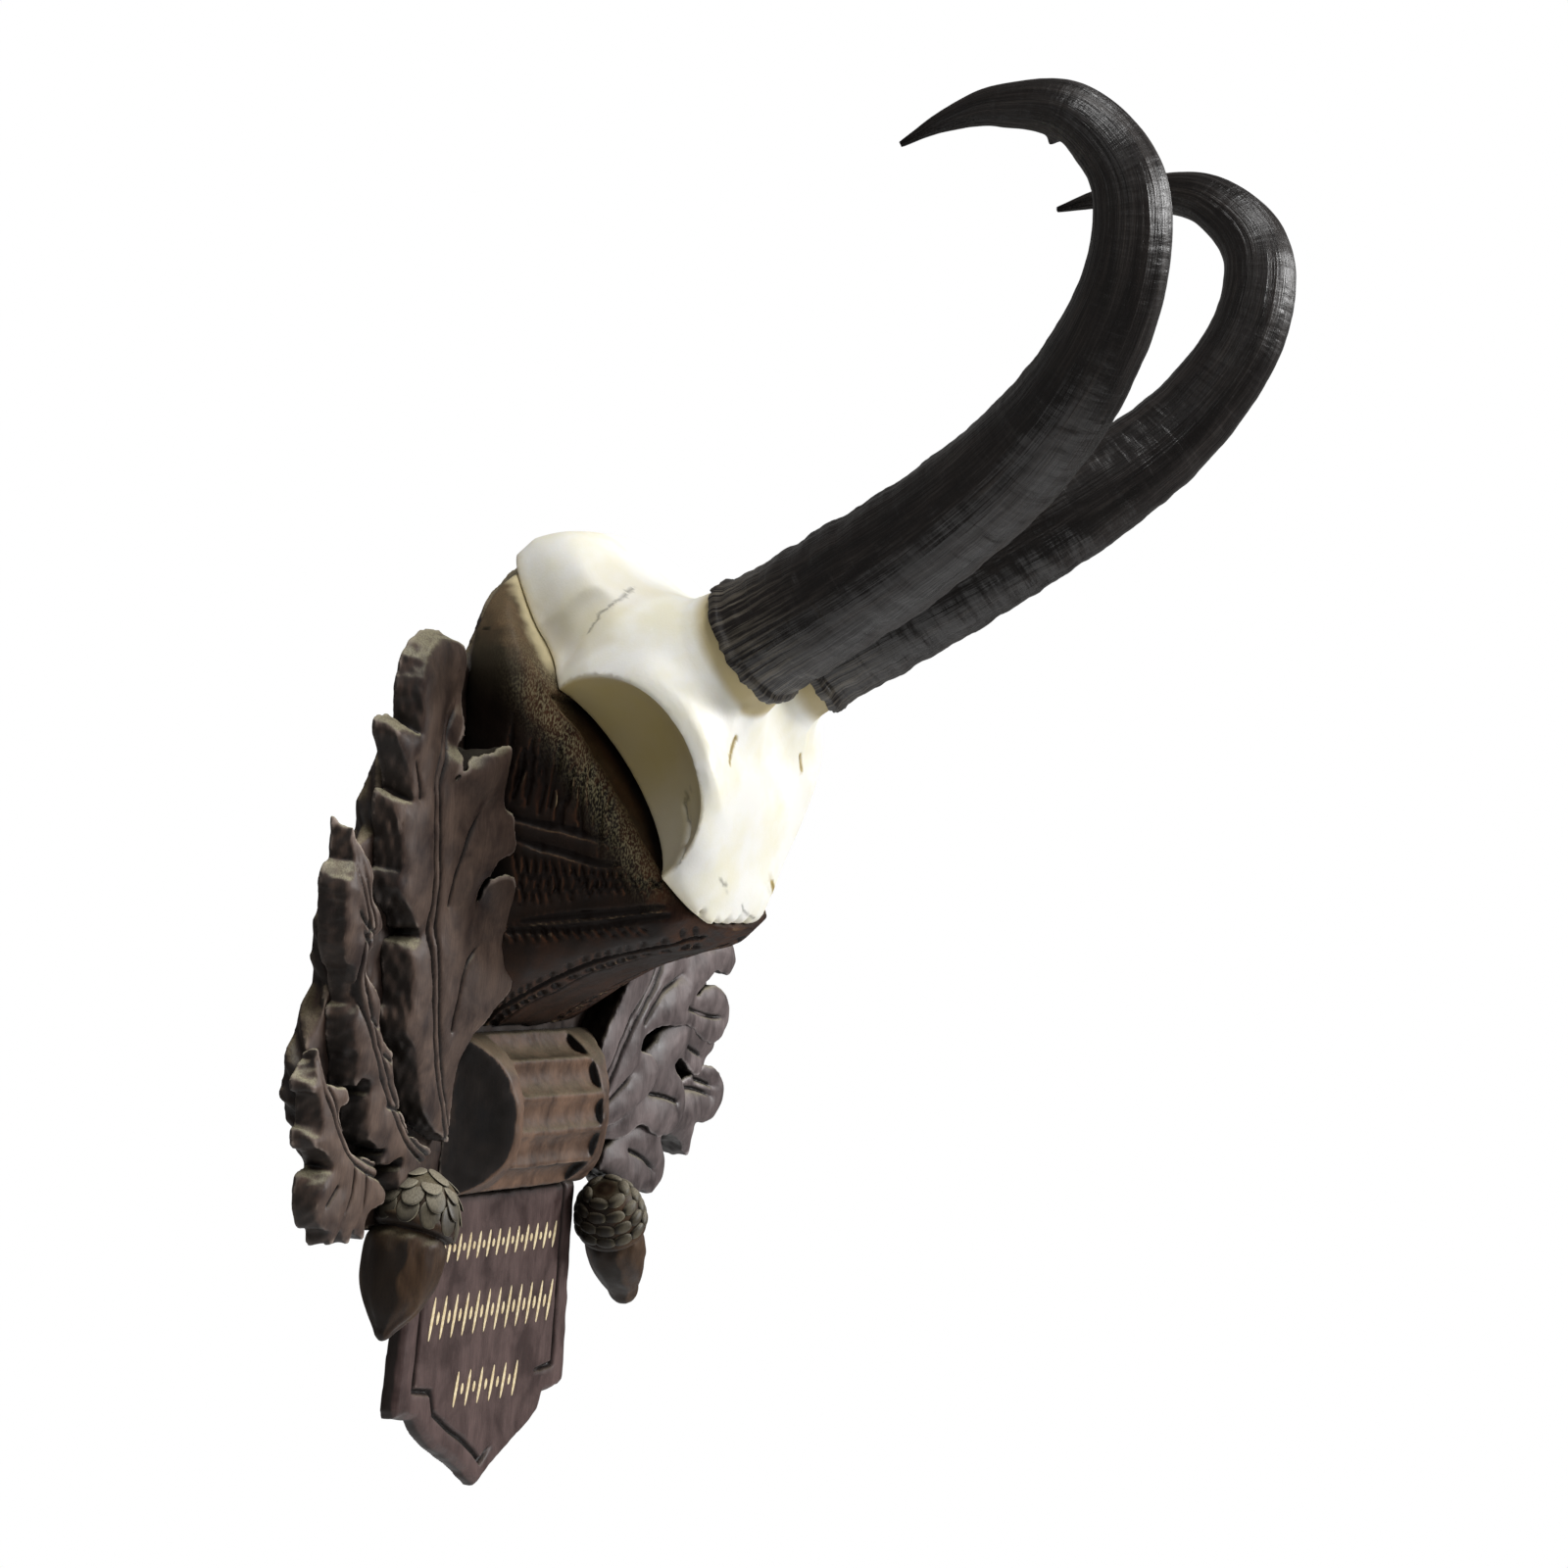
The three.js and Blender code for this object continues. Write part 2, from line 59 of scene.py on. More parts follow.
class Block:
    """A block in millimetres, worked by adding and cutting shapes, then skinned with a mesh."""

    def __init__(self, low, high, step):
        self.step = step * COARSER
        self.axes = [np.arange(a, b + self.step, self.step) for a, b in zip(low, high)]
        self.low = np.array(low, float)
        self.field = np.full([len(axis) for axis in self.axes], FAR, np.float32)

    def window(self, low, high, margin):
        """Slices of the grid round a box, and the places in them."""
        slices = []
        for axis, a, b in zip(self.axes, low, high):
            slices.append(slice(np.searchsorted(axis, a - margin), np.searchsorted(axis, b + margin)))
        return tuple(slices), np.ix_(*(axis[s] for axis, s in zip(self.axes, slices)))

    def stick(self, path, radii, blend=0.5, cut=False):
        """Adds or cuts a round stick that follows path, with a radius at each of its points."""
        path = np.asarray(path, float)
        radii = np.broadcast_to(np.asarray(radii, float), len(path))
        for a, b, ra, rb in zip(path[:-1], path[1:], radii[:-1], radii[1:]):
            slices, places = self.window(np.minimum(a, b), np.maximum(a, b), max(ra, rb) + 3 * blend + 2)
            gap = stick_distance(places, a, b, ra, rb)
            here = self.field[slices]
            self.field[slices] = smooth_max(here, -gap, blend) if cut else smooth_min(here, gap, blend)

    def keep(self, gap, blend):
        """Cuts away all that lies where gap is above nought, and rounds the edge by blend."""
        self.field = smooth_max(self.field, gap, blend)

    def skin(self, name, place=None, marks=None, simplify=0.0):
        """Mesh of the surface. place turns block coordinates into the object's own millimetres, marks
        gives more numbers for the material, and simplify is how far flat parts may be thinned."""
        grid = openvdb.FloatGrid(FAR)
        grid.copyFromArray(np.ascontiguousarray(self.field / self.step))
        points, triangles, quads = grid.convertToPolygons(0.0, simplify)
        kept, quads, triangles = largest_part(len(points), quads, triangles)
        where = points[kept] * self.step + self.low
        faces = quads[:, ::-1].tolist() + triangles[:, ::-1].tolist()
        final = place(where) if place else where
        piece = new_piece(name, final * MM, faces)
        store(piece, "hollow", self.sample(self.hollowness(), where))
        for mark, values in (marks(where) if marks else {}).items():
            store(piece, mark, values)
        return piece

    def hollowness(self):
        """Share of material round each place: half on a flat, less on an edge, more in a cut."""
        solid = np.clip(0.5 - self.field / self.step, 0, 1)
        reach = max(1, round(HOLLOWNESS_REACH / self.step))
        for _ in range(2):
            for axis in range(3):
                solid = box_blur(solid, axis, reach)
        return solid

    def sample(self, values, where):
        """Values of the grid at any places, mixed from the eight nearest cells."""
        place = (where - self.low) / self.step
        cell = np.clip(np.floor(place).astype(int), 0, np.array(values.shape) - 2)
        share = place - cell
        total = 0.0
        for corner in np.ndindex(2, 2, 2):
            weight = np.prod(np.where(corner, share, 1 - share), axis=1)
            total = total + weight * values[tuple((cell + corner).T)]
        return total

    def on_surface(self, point):
        """The place on the block's surface nearest to a point that lies close to it."""
        point = np.array(point, float)
        for _ in range(4):
            around = np.vstack([point, point + self.step * np.eye(3), point - self.step * np.eye(3)])
            values = self.sample(self.field, around)
            uphill = (values[1:4] - values[4:]) / (2 * self.step)
            point = point - np.clip(values[0], -2, 2) * uphill / max(uphill @ uphill, 0.1)
        return point

    def flip(self):
        """Mirrors the block in the plane x = 0."""
        self.field = np.ascontiguousarray(self.field[::-1])
        self.low[0] = -(self.low[0] + (len(self.axes[0]) - 1) * self.step)
        self.axes[0] = self.low[0] + self.step * np.arange(len(self.axes[0]))


def largest_part(count, quads, triangles):
    """The points and faces of the largest connected part, without specks left between cuts."""
    ends = np.vstack([quads[:, :2], quads[:, 1:3], quads[:, 2:], triangles[:, :2], triangles[:, 1:]])
    ends = ends.astype(int)
    label = np.arange(count)
    while True:
        lowest = label.copy()
        np.minimum.at(lowest, label[ends].ravel(), np.repeat(label[ends].min(1), 2))
        for _ in range(6):
            lowest = lowest[lowest]
        if (lowest == label).all():
            break
        label = lowest
    kept = label == np.bincount(label).argmax()
    number = np.cumsum(kept) - 1
    return kept, number[quads[kept[quads[:, 0]]]], number[triangles[kept[triangles[:, 0]]]]


def stick_distance(places, a, b, ra, rb):
    along = b - a
    offsets = [p - c for p, c in zip(places, a)]
    share = np.clip(sum(o * c for o, c in zip(offsets, along)) / max(along @ along, 1e-9), 0, 1)
    gap = np.sqrt(sum((o - c * share) ** 2 for o, c in zip(offsets, along)))
    return gap - (ra + (rb - ra) * share)


def smooth_min(a, b, blend):
    share = np.clip(0.5 + 0.5 * (b - a) / blend, 0, 1)
    return b + (a - b) * share - blend * share * (1 - share)


def smooth_max(a, b, blend):
    return -smooth_min(-a, -b, blend)


def box_blur(values, axis, reach):
    margin = [(reach + 1, reach) if i == axis else (0, 0) for i in range(3)]
    total = np.cumsum(np.pad(values, margin, "edge"), axis)
    width = 2 * reach + 1
    ahead = np.take(total, range(width, total.shape[axis]), axis)
    return (ahead - np.take(total, range(total.shape[axis] - width), axis)) / width


def ease(low, high, value):
    """Nought below low, one above high, and a smooth step between."""
    share = np.clip((value - low) / (high - low), 0, 1)
    return share * share * (3 - 2 * share)


def spline(points, count):
    """Points evenly spaced in number along a smooth curve through the given ones."""
    points = np.asarray(points, float)
    ends = np.vstack([2 * points[0] - points[1], points, 2 * points[-1] - points[-2]])
    places = np.linspace(0, len(points) - 1, count)
    k = np.minimum(places.astype(int), len(points) - 2)
    t = (places - k)[:, None]
    a, b, c, d = (ends[k + i] for i in range(4))
    square, cube = 2 * a - 5 * b + 4 * c - d, 3 * b - a - 3 * c + d
    return 0.5 * (2 * b + (c - a) * t + square * t ** 2 + cube * t ** 3)


def waves(places, size, seed):
    """Smooth random field of about one unit, from sines in random directions; size is in millimetres."""
    rng = np.random.default_rng(seed)
    total = 0.0
    for share in (1.0, 0.5):
        for _ in range(5):
            way = rng.normal(size=len(places))
            way *= 2 * math.pi / (size * share * np.linalg.norm(way))
            phase = rng.uniform(0, 2 * math.pi)
            total = total + share * np.sin(sum(p * w for p, w in zip(places, way)) + phase)
    return total / 3


# Pieces

def link(name, data):
    thing = bpy.data.objects.new(name, data)
    bpy.context.scene.collection.objects.link(thing)
    return thing


def new_piece(name, points, faces):
    mesh = bpy.data.meshes.new(name)
    mesh.from_pydata(np.asarray(points).tolist(), [], faces)
    mesh.update()
    mesh.shade_smooth()
    return link(name, mesh)


def store(piece, name, values):
    attribute = piece.data.attributes.new(name, "FLOAT", "POINT")
    attribute.data.foreach_set("value", np.ascontiguousarray(values, np.float32))


def finish_piece(piece, material, slot, *nodes):
    piece.data.materials.clear()
    piece.data.materials.append(material)
    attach(piece, "root")
    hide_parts(*nodes)


# Nodes and materials

def add(tree, kind, links=(), **settings):
    """Adds a node, named without the start of its type's name, with its inputs and settings."""
    starts = ("ShaderNode", "GeometryNode", "FunctionNode", "Node")
    node = tree.nodes.new(next(start + kind for start in starts if hasattr(bpy.types, start + kind)))
    for name, value in settings.items():
        setattr(node, name, value)
    return connect(node, links)


def connect(node, links):
    """Each input, by name or number, takes a value, a socket, or the first output in use of a node."""
    for name, value in (links if isinstance(links, dict) else dict(enumerate(links))).items():
        if isinstance(value, bpy.types.Node):
            value = next(output for output in value.outputs if output.enabled)
        if isinstance(value, bpy.types.NodeSocket):
            node.id_data.links.new(value, node.inputs[name])
        elif value is not None:
            node.inputs[name].default_value = value
    return node


def new_material(name):
    """A material, its shader, and add for its tree."""
    material = bpy.data.materials.new(name)
    material.use_nodes = True
    tree = material.node_tree
    tree.nodes.clear()
    shader = add(tree, "BsdfPrincipled")
    add(tree, "OutputMaterial", {"Surface": shader}, is_active_output=True)
    return material, shader, partial(add, tree)


def linear(code):
    """An sRGB hex colour as linear numbers."""
    parts = [int(code[i:i + 2], 16) / 255 for i in (1, 3, 5)]
    return (*(c / 12.92 if c <= 0.04045 else ((c + 0.055) / 1.055) ** 2.4 for c in parts), 1.0)


def millimetres(put, *stretch):
    """Object coordinates in millimetres, each axis divided by its stretch."""
    place = put("TexCoord").outputs["Object"]
    return put("Mapping", {"Vector": place, "Scale": [1 / (MM * s) for s in stretch]})


def carved_wood(name, dark, middle, pale, dust="#7d7a63", dust_share=0.45, gloss=0.42, left_face_shade=None,
                shine=0.24):
    """Carved limewood under a dark stain and old wax, with painted light and shade: painted shade near black
    in the cuts and recesses and dark on the sides and undersides, edges paler from wear and painted
    highlight, and greenish dust on what faces up. left_face_shade is painted shade on what faces the mount's
    left, if given."""
    material, shader, put = new_material(name)
    # Fibres 0.35 mm wide and 8 mm long run up the wood. The stain lies in clouds of 8 mm. The specks of
    # dust are 0.3 mm wide, and the marks of the tool 2.4 mm. After the sizes: detail, roughness, distortion.
    fibre, stain, specks, tool = (
        put("TexNoise", {"Vector": millimetres(put, *size), "Scale": 1.0, "Detail": detail,
                         "Roughness": rough, "Distortion": bend})
        for *size, detail, rough, bend in (
            (0.35, 0.35, 8.0, 3.0, 0.6, 0.0), (8.0, 8.0, 12.0, 5.0, 0.6, 0.5),
            (0.3, 0.3, 0.7, 2.0, 0.5, 0.0), (2.4, 2.4, 5.0, 1.0, 0.5, 0.0)))
    marks = ("hollow", "cut", "stippled", "bare")
    hollow, cut, stippled, bare = (put("Attribute", attribute_name=mark).outputs["Fac"] for mark in marks)
    x, y, z = put("SeparateXYZ", [put("NewGeometry").outputs["Normal"]]).outputs
    ao_shade = put("AmbientOcclusion", {"Distance": 9 * MM}, samples=6).outputs["AO"]
    # Coats from the wood outwards: the colour, then ranges whose product says how much of it there is.
    # A range turns one span of a measure into another, on a straight or a smooth curve.
    straight, smooth = "LINEAR", "SMOOTHSTEP"
    coats = [
        # Paler on the convex edges: rubbed wear, and painted highlight.
        (pale, (hollow, 0.42, 0.28, 0.0, 0.9, smooth), (stain, 0.4, 0.6, 0.25, 1.0, straight)),
        # Sides and undersides are painted darker, not the front or what faces up: the dark stain left unworn
        # there, and painted shade.
        ("#14100d", (y, -0.72, -0.3, 0.0, 0.85, smooth), (z, 0.25, 0.6, 1.0, 0.0, straight),
         (y, 0.5, 0.9, 1.0, 0.0, straight)),
        (dust, (z, 0.3, 0.75, 0.0, dust_share, smooth), (specks, 0.35, 0.6, 0.45, 1.0, straight),
         (hollow, 0.6, 0.48, 0.0, 1.0, straight)),
        # Painted shade: near black in the hollows.
        ("#0b0807", (hollow, 0.54, 0.74, 0.0, 0.95, smooth)),
        # Painted shade in the recesses between the carvings, within 9 mm of other wood, from ambient
        # occlusion.
        ("#0b0807", (ao_shade, 0.25, 0.8, 0.82, 0.0, smooth)),
        # Painted shade: near black in the cuts, and on leaf walls that face the seat.
        ("#120b08", (cut, 0.2, 0.75, 0.0, 0.9, straight)),
        # Stippled dust on the ridge round the skull, and bare wood beside the bone
        ("#a39a78", (stippled, 0.0, 1.0, 0.0, 1.0, straight), (specks, 0.45, 0.62, 0.0, 1.0, straight)),
        ("#d8cba4", (bare, 0.0, 1.0, 0.0, 1.0, straight)),
    ]
    # Painted shade on the faces that look to the mount's left.
    if left_face_shade:
        coats.insert(0, (left_face_shade, (x, -0.5, -0.66, 0.0, 0.9, straight)))
    mottle = put("MapRange", [stain, 0.34, 0.66])
    tone = put("Mix", {0: mottle, 6: linear(dark), 7: linear(middle)}, data_type="RGBA")
    streak = put("MapRange", [fibre, 0.3, 0.7, 0.8, 1.18])
    tone = put("VectorMath", {0: tone, "Scale": streak}, operation="SCALE")
    for colour, *ranges in coats:
        share = None
        for *span, curve in ranges:
            part = put("MapRange", span, interpolation_type=curve)
            share = part if share is None else put("Math", [share, part], operation="MULTIPLY")
        tone = put("Mix", {0: share, 6: tone, 7: linear(colour)}, data_type="RGBA")
    bump = None
    for noise, strength, height in ((tool, 0.5, 0.22), (fibre, 0.45, 0.08), (specks, 0.25, 0.06)):
        bump = put("Bump", {"Strength": strength, "Distance": height * MM, "Height": noise, "Normal": bump})
    rough = put("MapRange", [stain, 0.3, 0.7, gloss, gloss + 0.22])
    connect(shader, {"Base Color": tone, "Roughness": rough, "Normal": bump, "Specular IOR Level": shine})
    return material


def bleached_bone():
    """Boiled and bleached bone: ivory and nearly white where it is open, yellowed in places, with painted
    olive shade in its hollows.
    """
    material, shader, put = new_material("bleached bone")
    hollow, stain, crack = (
        put("Attribute", attribute_name=mark).outputs["Fac"] for mark in ("hollow", "stain", "crack"))
    # Yellow clouds of 11 mm, and pores of 0.5 mm
    cloud, pores = (
        put("TexNoise", {"Vector": millimetres(put, 1, 1, 1), "Scale": 1 / size, "Detail": detail})
        for size, detail in ((11.0, 5.0), (0.5, 4.0)))
    fade = put("MapRange", [cloud, 0.42, 0.68, 0.0, 0.6])
    # Painted shade: olive in the hollows.
    deep = put("MapRange", [hollow, 0.54, 0.8, 0.0, 0.9])
    tone = linear("#edece6")
    for share, colour in ((fade, "#e2dcba"), (stain, "#a89350"), (deep, "#7d6c38"), (crack, "#2e281b")):
        tone = put("Mix", {0: share, 6: tone, 7: linear(colour)}, data_type="RGBA")
    bump = put("Bump", {"Strength": 0.3, "Distance": 0.1 * MM, "Height": pores})
    connect(shader, {
        "Base Color": tone, "Normal": bump, "Roughness": 0.52, "Subsurface Weight": 0.12,
        "Subsurface Radius": (1.0, 0.75, 0.45), "Subsurface Scale": 1.5 * MM})
    return material


def grown_horn():
    """Keratin grown in fibres along the horn: near black, streaked grey lengthwise, with a worn gloss."""
    material, shader, put = new_material("grown horn")
    x, y, along = (put("Attribute", attribute_name=mark).outputs["Fac"] for mark in HORN_MARKS)
    place = put("CombineXYZ", [x, y, along])
    # The fibres are 0.4 mm wide and about 15 mm long. Scales are for x and y in horn radii, and for the
    # length in millimetres.
    fibre, broad, ring = (
        put("TexNoise", {"Vector": put("Mapping", {"Vector": place, "Scale": scale}), "Scale": 1.0,
                         "Detail": detail})
        for *scale, detail in ((26.0, 26.0, 0.07, 3.0), (3.0, 3.0, 0.05, 3.0), (0.8, 0.8, 0.55, 4.0)))
    streak = put("MapRange", [fibre, 0.45, 0.75])
    patch = put("MapRange", [broad, 0.4, 0.7])
    pale = put("Math", [streak, patch], operation="MULTIPLY")
    # Grey dust on the streaks of the lowest 22 mm
    low = put("MapRange", [along, 22.0, 2.0, 0.0, 0.6], interpolation_type="SMOOTHSTEP")
    low = put("Math", [low, streak], operation="MULTIPLY")
    tone = linear("#0a0504")
    for share, colour in ((patch, "#130b08"), (pale, "#3b3531"), (low, "#827a6c")):
        tone = put("Mix", {0: share, 6: tone, 7: linear(colour)}, data_type="RGBA")
    bump = None
    for noise, strength, height in ((ring, 0.6, 0.5), (fibre, 0.9, 0.26)):
        bump = put("Bump", {"Strength": strength, "Distance": height * MM, "Height": noise, "Normal": bump})
    rough = put("MapRange", [broad, 0.3, 0.7, 0.22, 0.44])
    connect(shader, {"Base Color": tone, "Roughness": rough, "Normal": bump, "Specular IOR Level": 0.4})
    return material


def cream_paint():
    """Old oil paint: a warm cream film laid on by brush, slightly uneven."""
    material, shader, put = new_material("cream oil paint")
    film = put("TexNoise", {"Vector": millimetres(put, 1, 1, 1), "Scale": 1 / 0.8, "Detail": 3.0})
    fade = put("MapRange", [film, 0.35, 0.7])
    tone = put("Mix", {0: fade, 6: linear("#e3d3ac"), 7: linear("#c2ac80")}, data_type="RGBA")
    connect(shader, {"Base Color": tone, "Roughness": 0.6})
    return material


# Geometry trees

def new_tree(name, inputs):
    """A geometry tree, the identifiers of its named inputs, add for the tree, and the inputs' sockets."""
    tree = bpy.data.node_groups.new(name, "GeometryNodeTree")
    face = tree.interface
    sockets = {
        label: face.new_socket(label, in_out="INPUT", socket_type="NodeSocket" + kind).identifier
        for label, kind in {"Geometry": "Geometry", **inputs, "Material": "Material"}.items()}
    face.new_socket("Geometry", in_out="OUTPUT", socket_type="NodeSocketGeometry")
    put = partial(add, tree)
    return tree, sockets, put, put("GroupInput").outputs


def close_tree(put, given, shape):
    whole = put("RealizeInstances", [shape])
    whole = put("SetMaterial", {"Geometry": whole, "Material": given["Material"]})
    put("GroupOutput", [whole])


def grow(name, tree, sockets, values, data=None):
    """Runs a geometry tree on a curve or on an empty mesh, and keeps its result as a plain mesh."""
    source = link(name + "_source", data or bpy.data.meshes.new(name))
    modifier = source.modifiers.new(name, "NODES")
    modifier.node_group = tree
    for label, value in values.items():
        modifier[sockets[label]] = value
    depsgraph = bpy.context.evaluated_depsgraph_get()
    mesh = bpy.data.meshes.new_from_object(source.evaluated_get(depsgraph), depsgraph=depsgraph)
    mesh.name = name
    mesh.shade_smooth()
    source.modifiers.remove(modifier)
    bpy.data.objects.remove(source)
    return link(name, mesh)


# Skull cap

# Cross sections down the slope: v, then half a profile of (x, h) from the cut edge to the middle.
SKULL_SECTIONS = [
    (-1, [(20, 0), (20, 6), (16.5, 10), (9, 11.6), (0, 12)]),
    (4, [(24.2, 0), (24.2, 8.3), (20.8, 13.2), (12, 15.8), (0, 16.4)]),
    (11, [(27, 0), (27.5, 9.5), (24.5, 15.3), (14.5, 18.8), (0, 19.4)]),
    (20, [(29, 0), (29.5, 9), (26.5, 16), (16, 21.6), (0, 22.4)]),
    (27, [(29.5, 0), (30.5, 9), (28, 17.5), (18, 24.5), (0, 25)]),
    (33, [(33, 0), (33.8, 9), (30, 20), (20, 27.5), (0, 28)]),
    (40, [(36, 0), (36.5, 18), (30, 24), (20, 29.5), (0, 28.5)]),
    (46, [(37, 0), (37, 21), (30, 25.5), (20, 29.5), (0, 28)]),
    (52, [(37, 0), (37, 22.5), (30, 25.5), (18, 27.5), (0, 26.5)]),
    (60, [(36, 0), (35.8, 22.3), (28, 24), (17, 23.5), (0, 23)]),
    (66, [(34.5, 0), (34.3, 20), (27, 21), (16, 21), (0, 20.5)]),
    (72, [(32, 0), (32, 11), (25.5, 15.5), (15, 16.5), (0, 16.5)]),
    (79, [(27, 0), (26.6, 3.5), (21, 8.4), (13, 10), (0, 10.5)]),
    (84, [(22.5, 0), (22.3, 1.5), (18, 4.4), (11, 6), (0, 6.5)]),
    (87.5, [(17, 0), (17, 1), (14, 2), (9, 2.6), (0, 2.8)]),
]
SKULL_LENGTH = 87.5
ORBIT_MIDDLE = (41.0, 55.9, 0.0)
ORBIT_HALF = (24.5, 24.1, 21.2)
BONE_STEP = 0.55
CORE_INSIDE = 2.8               # how far the bone core is built into the horn's sheath
CORE_REACH = 26.0               # how far from its middle the core's cut works


def to_object(where):
    """From places (x, v, h) on the skull's slope to the object's millimetres."""
    return SLOPE_TOP + where[:, :1] * np.array([1.0, 0, 0]) + where[:, 1:2] * DOWN + where[:, 2:] * OUT


def to_slope(point):
    gap = np.asarray(point, float) - SLOPE_TOP
    return np.array([gap[0], gap @ DOWN, gap @ OUT])


def skull_radius(block):
    """Distance from the axis h = 0, x = 0 to the bone's surface, for every v and every angle."""
    angles = np.linspace(0, math.pi / 2, 41)
    rows = []
    for _, half in SKULL_SECTIONS:
        profile = spline(half, 60)
        turn = np.arctan2(profile[:, 1], profile[:, 0])
        rows.append(np.interp(angles, turn, np.hypot(profile[:, 0], profile[:, 1])))
    stations = np.array([v for v, _ in SKULL_SECTIONS], float)
    dense = spline(np.column_stack([stations, np.array(rows)]), 200)
    by_v = np.array([np.interp(block.axes[1], dense[:, 0], dense[:, i + 1]) for i in range(len(angles))]).T
    x = block.axes[0][:, None]
    h = block.axes[2][None, :]
    place = np.clip(np.arctan2(np.maximum(h, 0), np.abs(x)) / (math.pi / 2), 0, 1) * (len(angles) - 1)
    k = np.minimum(place.astype(int), len(angles) - 2)
    share = (place - k)[:, None, :]
    low = by_v[:, k].transpose(1, 0, 2)
    high = by_v[:, k + 1].transpose(1, 0, 2)
    return low + (high - low) * share


def skull_cap(bone):
    block = Block((-44, -5, -3), (44, 92, 46), BONE_STEP)
    x, v, h = np.ix_(*block.axes)
    body = (np.hypot(x, h) - skull_radius(block)) * 0.9
    body = smooth_max(body, -(v + 1.6) + 0.2 * np.abs(h - 5), 2.0)
    # The nose is broken off slantwise on the right.
    body = smooth_max(body, (x - 14 + 0.85 * (v - 80) + 0.15 * (h - 8)) * 0.7, 0.8)
    body = smooth_max(body, v - SKULL_LENGTH + 0.35 * waves((x, h), 5, 11), 0.8)
    block.field = body.astype(np.float32)
    for side in (-1, 1):
        base, along = horn_start(side)
        start = to_slope(base)
        way = to_slope(base + along * 10) - start
        way /= np.linalg.norm(way)
        # The collar under the horn: a wide cone out of the forehead, then a short straight part
        block.stick([start - way * 24, start - way * 6], [20, 13.4], blend=8)
        block.stick([start - way * 9, start + way * 4], [13.6, 12.7], blend=1.5)
        # The bone core goes on inside the sheath, and is cut off there.
        past = (x - start[0]) * way[0] + (v - start[1]) * way[1] + (h - start[2]) * way[2]
        near = np.hypot(x - start[0], v - start[1]) < CORE_REACH
        block.field = np.where(near, smooth_max(block.field, past - CORE_INSIDE, 0.6), block.field)
        socket = np.sqrt(sum(((p - side * c if i == 0 else p - c) / r) ** 2
                             for i, (p, c, r) in enumerate(zip((x, v, h), ORBIT_MIDDLE, ORBIT_HALF))))
        block.keep((1 - socket) * 22, 0.35)
        # Temporal hollow behind the brow's corner
        hollow = [(side * a, b, c) for a, b, c in
                  ((34.6, 22.6, 0), (34.6, 21.4, 7), (32, 19.6, 13.5), (29.2, 18.8, 18))]
        block.stick(spline(hollow, 12), np.linspace(6.4, 2.6, 12), blend=2.0, cut=True)
        # Channel over the brow
        block.stick(spline([(side * 19.5, 57, 32), (side * 20, 60, 30), (side * 20.8, 64, 27)], 10),
                    3.0, blend=3, cut=True)
    # A nerve's slit at the lower end of each channel
    block.stick([(-19.6, 58, 25.2), (-23.6, 62.6, 23.6)], [0.7, 0.35], blend=0.4, cut=True)
    block.stick([(15.4, 60.4, 24.2), (16.2, 62.8, 23.2)], [0.8, 0.5], blend=0.4, cut=True)
    for path, radius in HOLES:
        block.stick(path, radius, cut=True)
    block.keep(-h, 0.4)
    block.field = block.field.astype(np.float32)
    cracks, slits = (
        [[block.on_surface(place) for place in path] for path in paths] for paths in (CRACKS, SLITS))
    piece = block.skin("skull_cap_bone", to_object, lambda where: bone_marks(where, cracks, slits), 0.002)
    finish_piece(piece, bone, "bone", "skull_cap")


# Breaks in the bone, as (x, v, h): holes low in the left socket, and the split end of the nose.
HOLES = [
    ([(-20.6, 64.6, 8.6), (-22.2, 67.6, 8.2)], 0.8), ([(-23.2, 68.6, 8.4), (-24.6, 72, 7.6)], 1.2),
    ([(-26.6, 74, 6.2), (-27.6, 75.6, 5)], 0.9), ([(-29.2, 76.8, 3.4), (-28.2, 79.2, 1.6)], 1.3),
    ([(2.6, 82.6, 9.2), (8.5, 84.3, 7.2), (13, 86, 5)], 1.1), ([(-4.6, 85.6, 6), (-2, 88.5, 3)], 0.6),
    ([(13, 88.5, 3), (14.5, 83.5, 6.5)], 1.4), ([(-21.5, 88, 1.4), (-19.5, 85.8, 1.4)], 0.9),
]
# Hairline cracks over the temple, in the nose and in the socket
CRACKS = [
    [(-20.1, 19.4, 19.8), (-21.5, 20.3, 19), (-22.2, 20, 18.8), (-24, 21.6, 17.6), (-26.1, 21.4, 16.9),
     (-26.6, 22.6, 15.2), (-27.8, 22, 13.7), (-28.2, 24, 12.8), (-29, 23.8, 12), (-29.4, 25.4, 10.6)],
    [(-5, 85.9, 4.9), (-3.6, 86.6, 4), (1.5, 87.3, 2.8), (4.7, 87.5, 2.3)],
    [(-17.5, 81.5, 8.2), (-16, 82.6, 7.6)], [(-15.4, 82.2, 8.2), (-14.2, 84, 6.8)],
    [(-22, 62.8, 12), (-20.8, 64.4, 9.6)], [(-20.4, 62.4, 11.8), (-19.2, 64.2, 9.2)],
    [(-20.6, 64.6, 8.6), (-22.2, 67.6, 8.2), (-23.2, 68.6, 8.4), (-24.6, 72, 7.6), (-26.6, 74, 6.2)],
]
# Slits with brown edges: one for a nerve over each brow, and one where the nose has split.
SLITS = [
    [(-19.6, 58, 25.2), (-21.6, 60.3, 24.4), (-23.6, 62.6, 23.6)], [(15.4, 60.4, 24.2), (16.2, 62.8, 23.2)],
    [(8.4, 81.5, 8.2), (10.5, 82.8, 7), (12.5, 84, 5.5)],
]


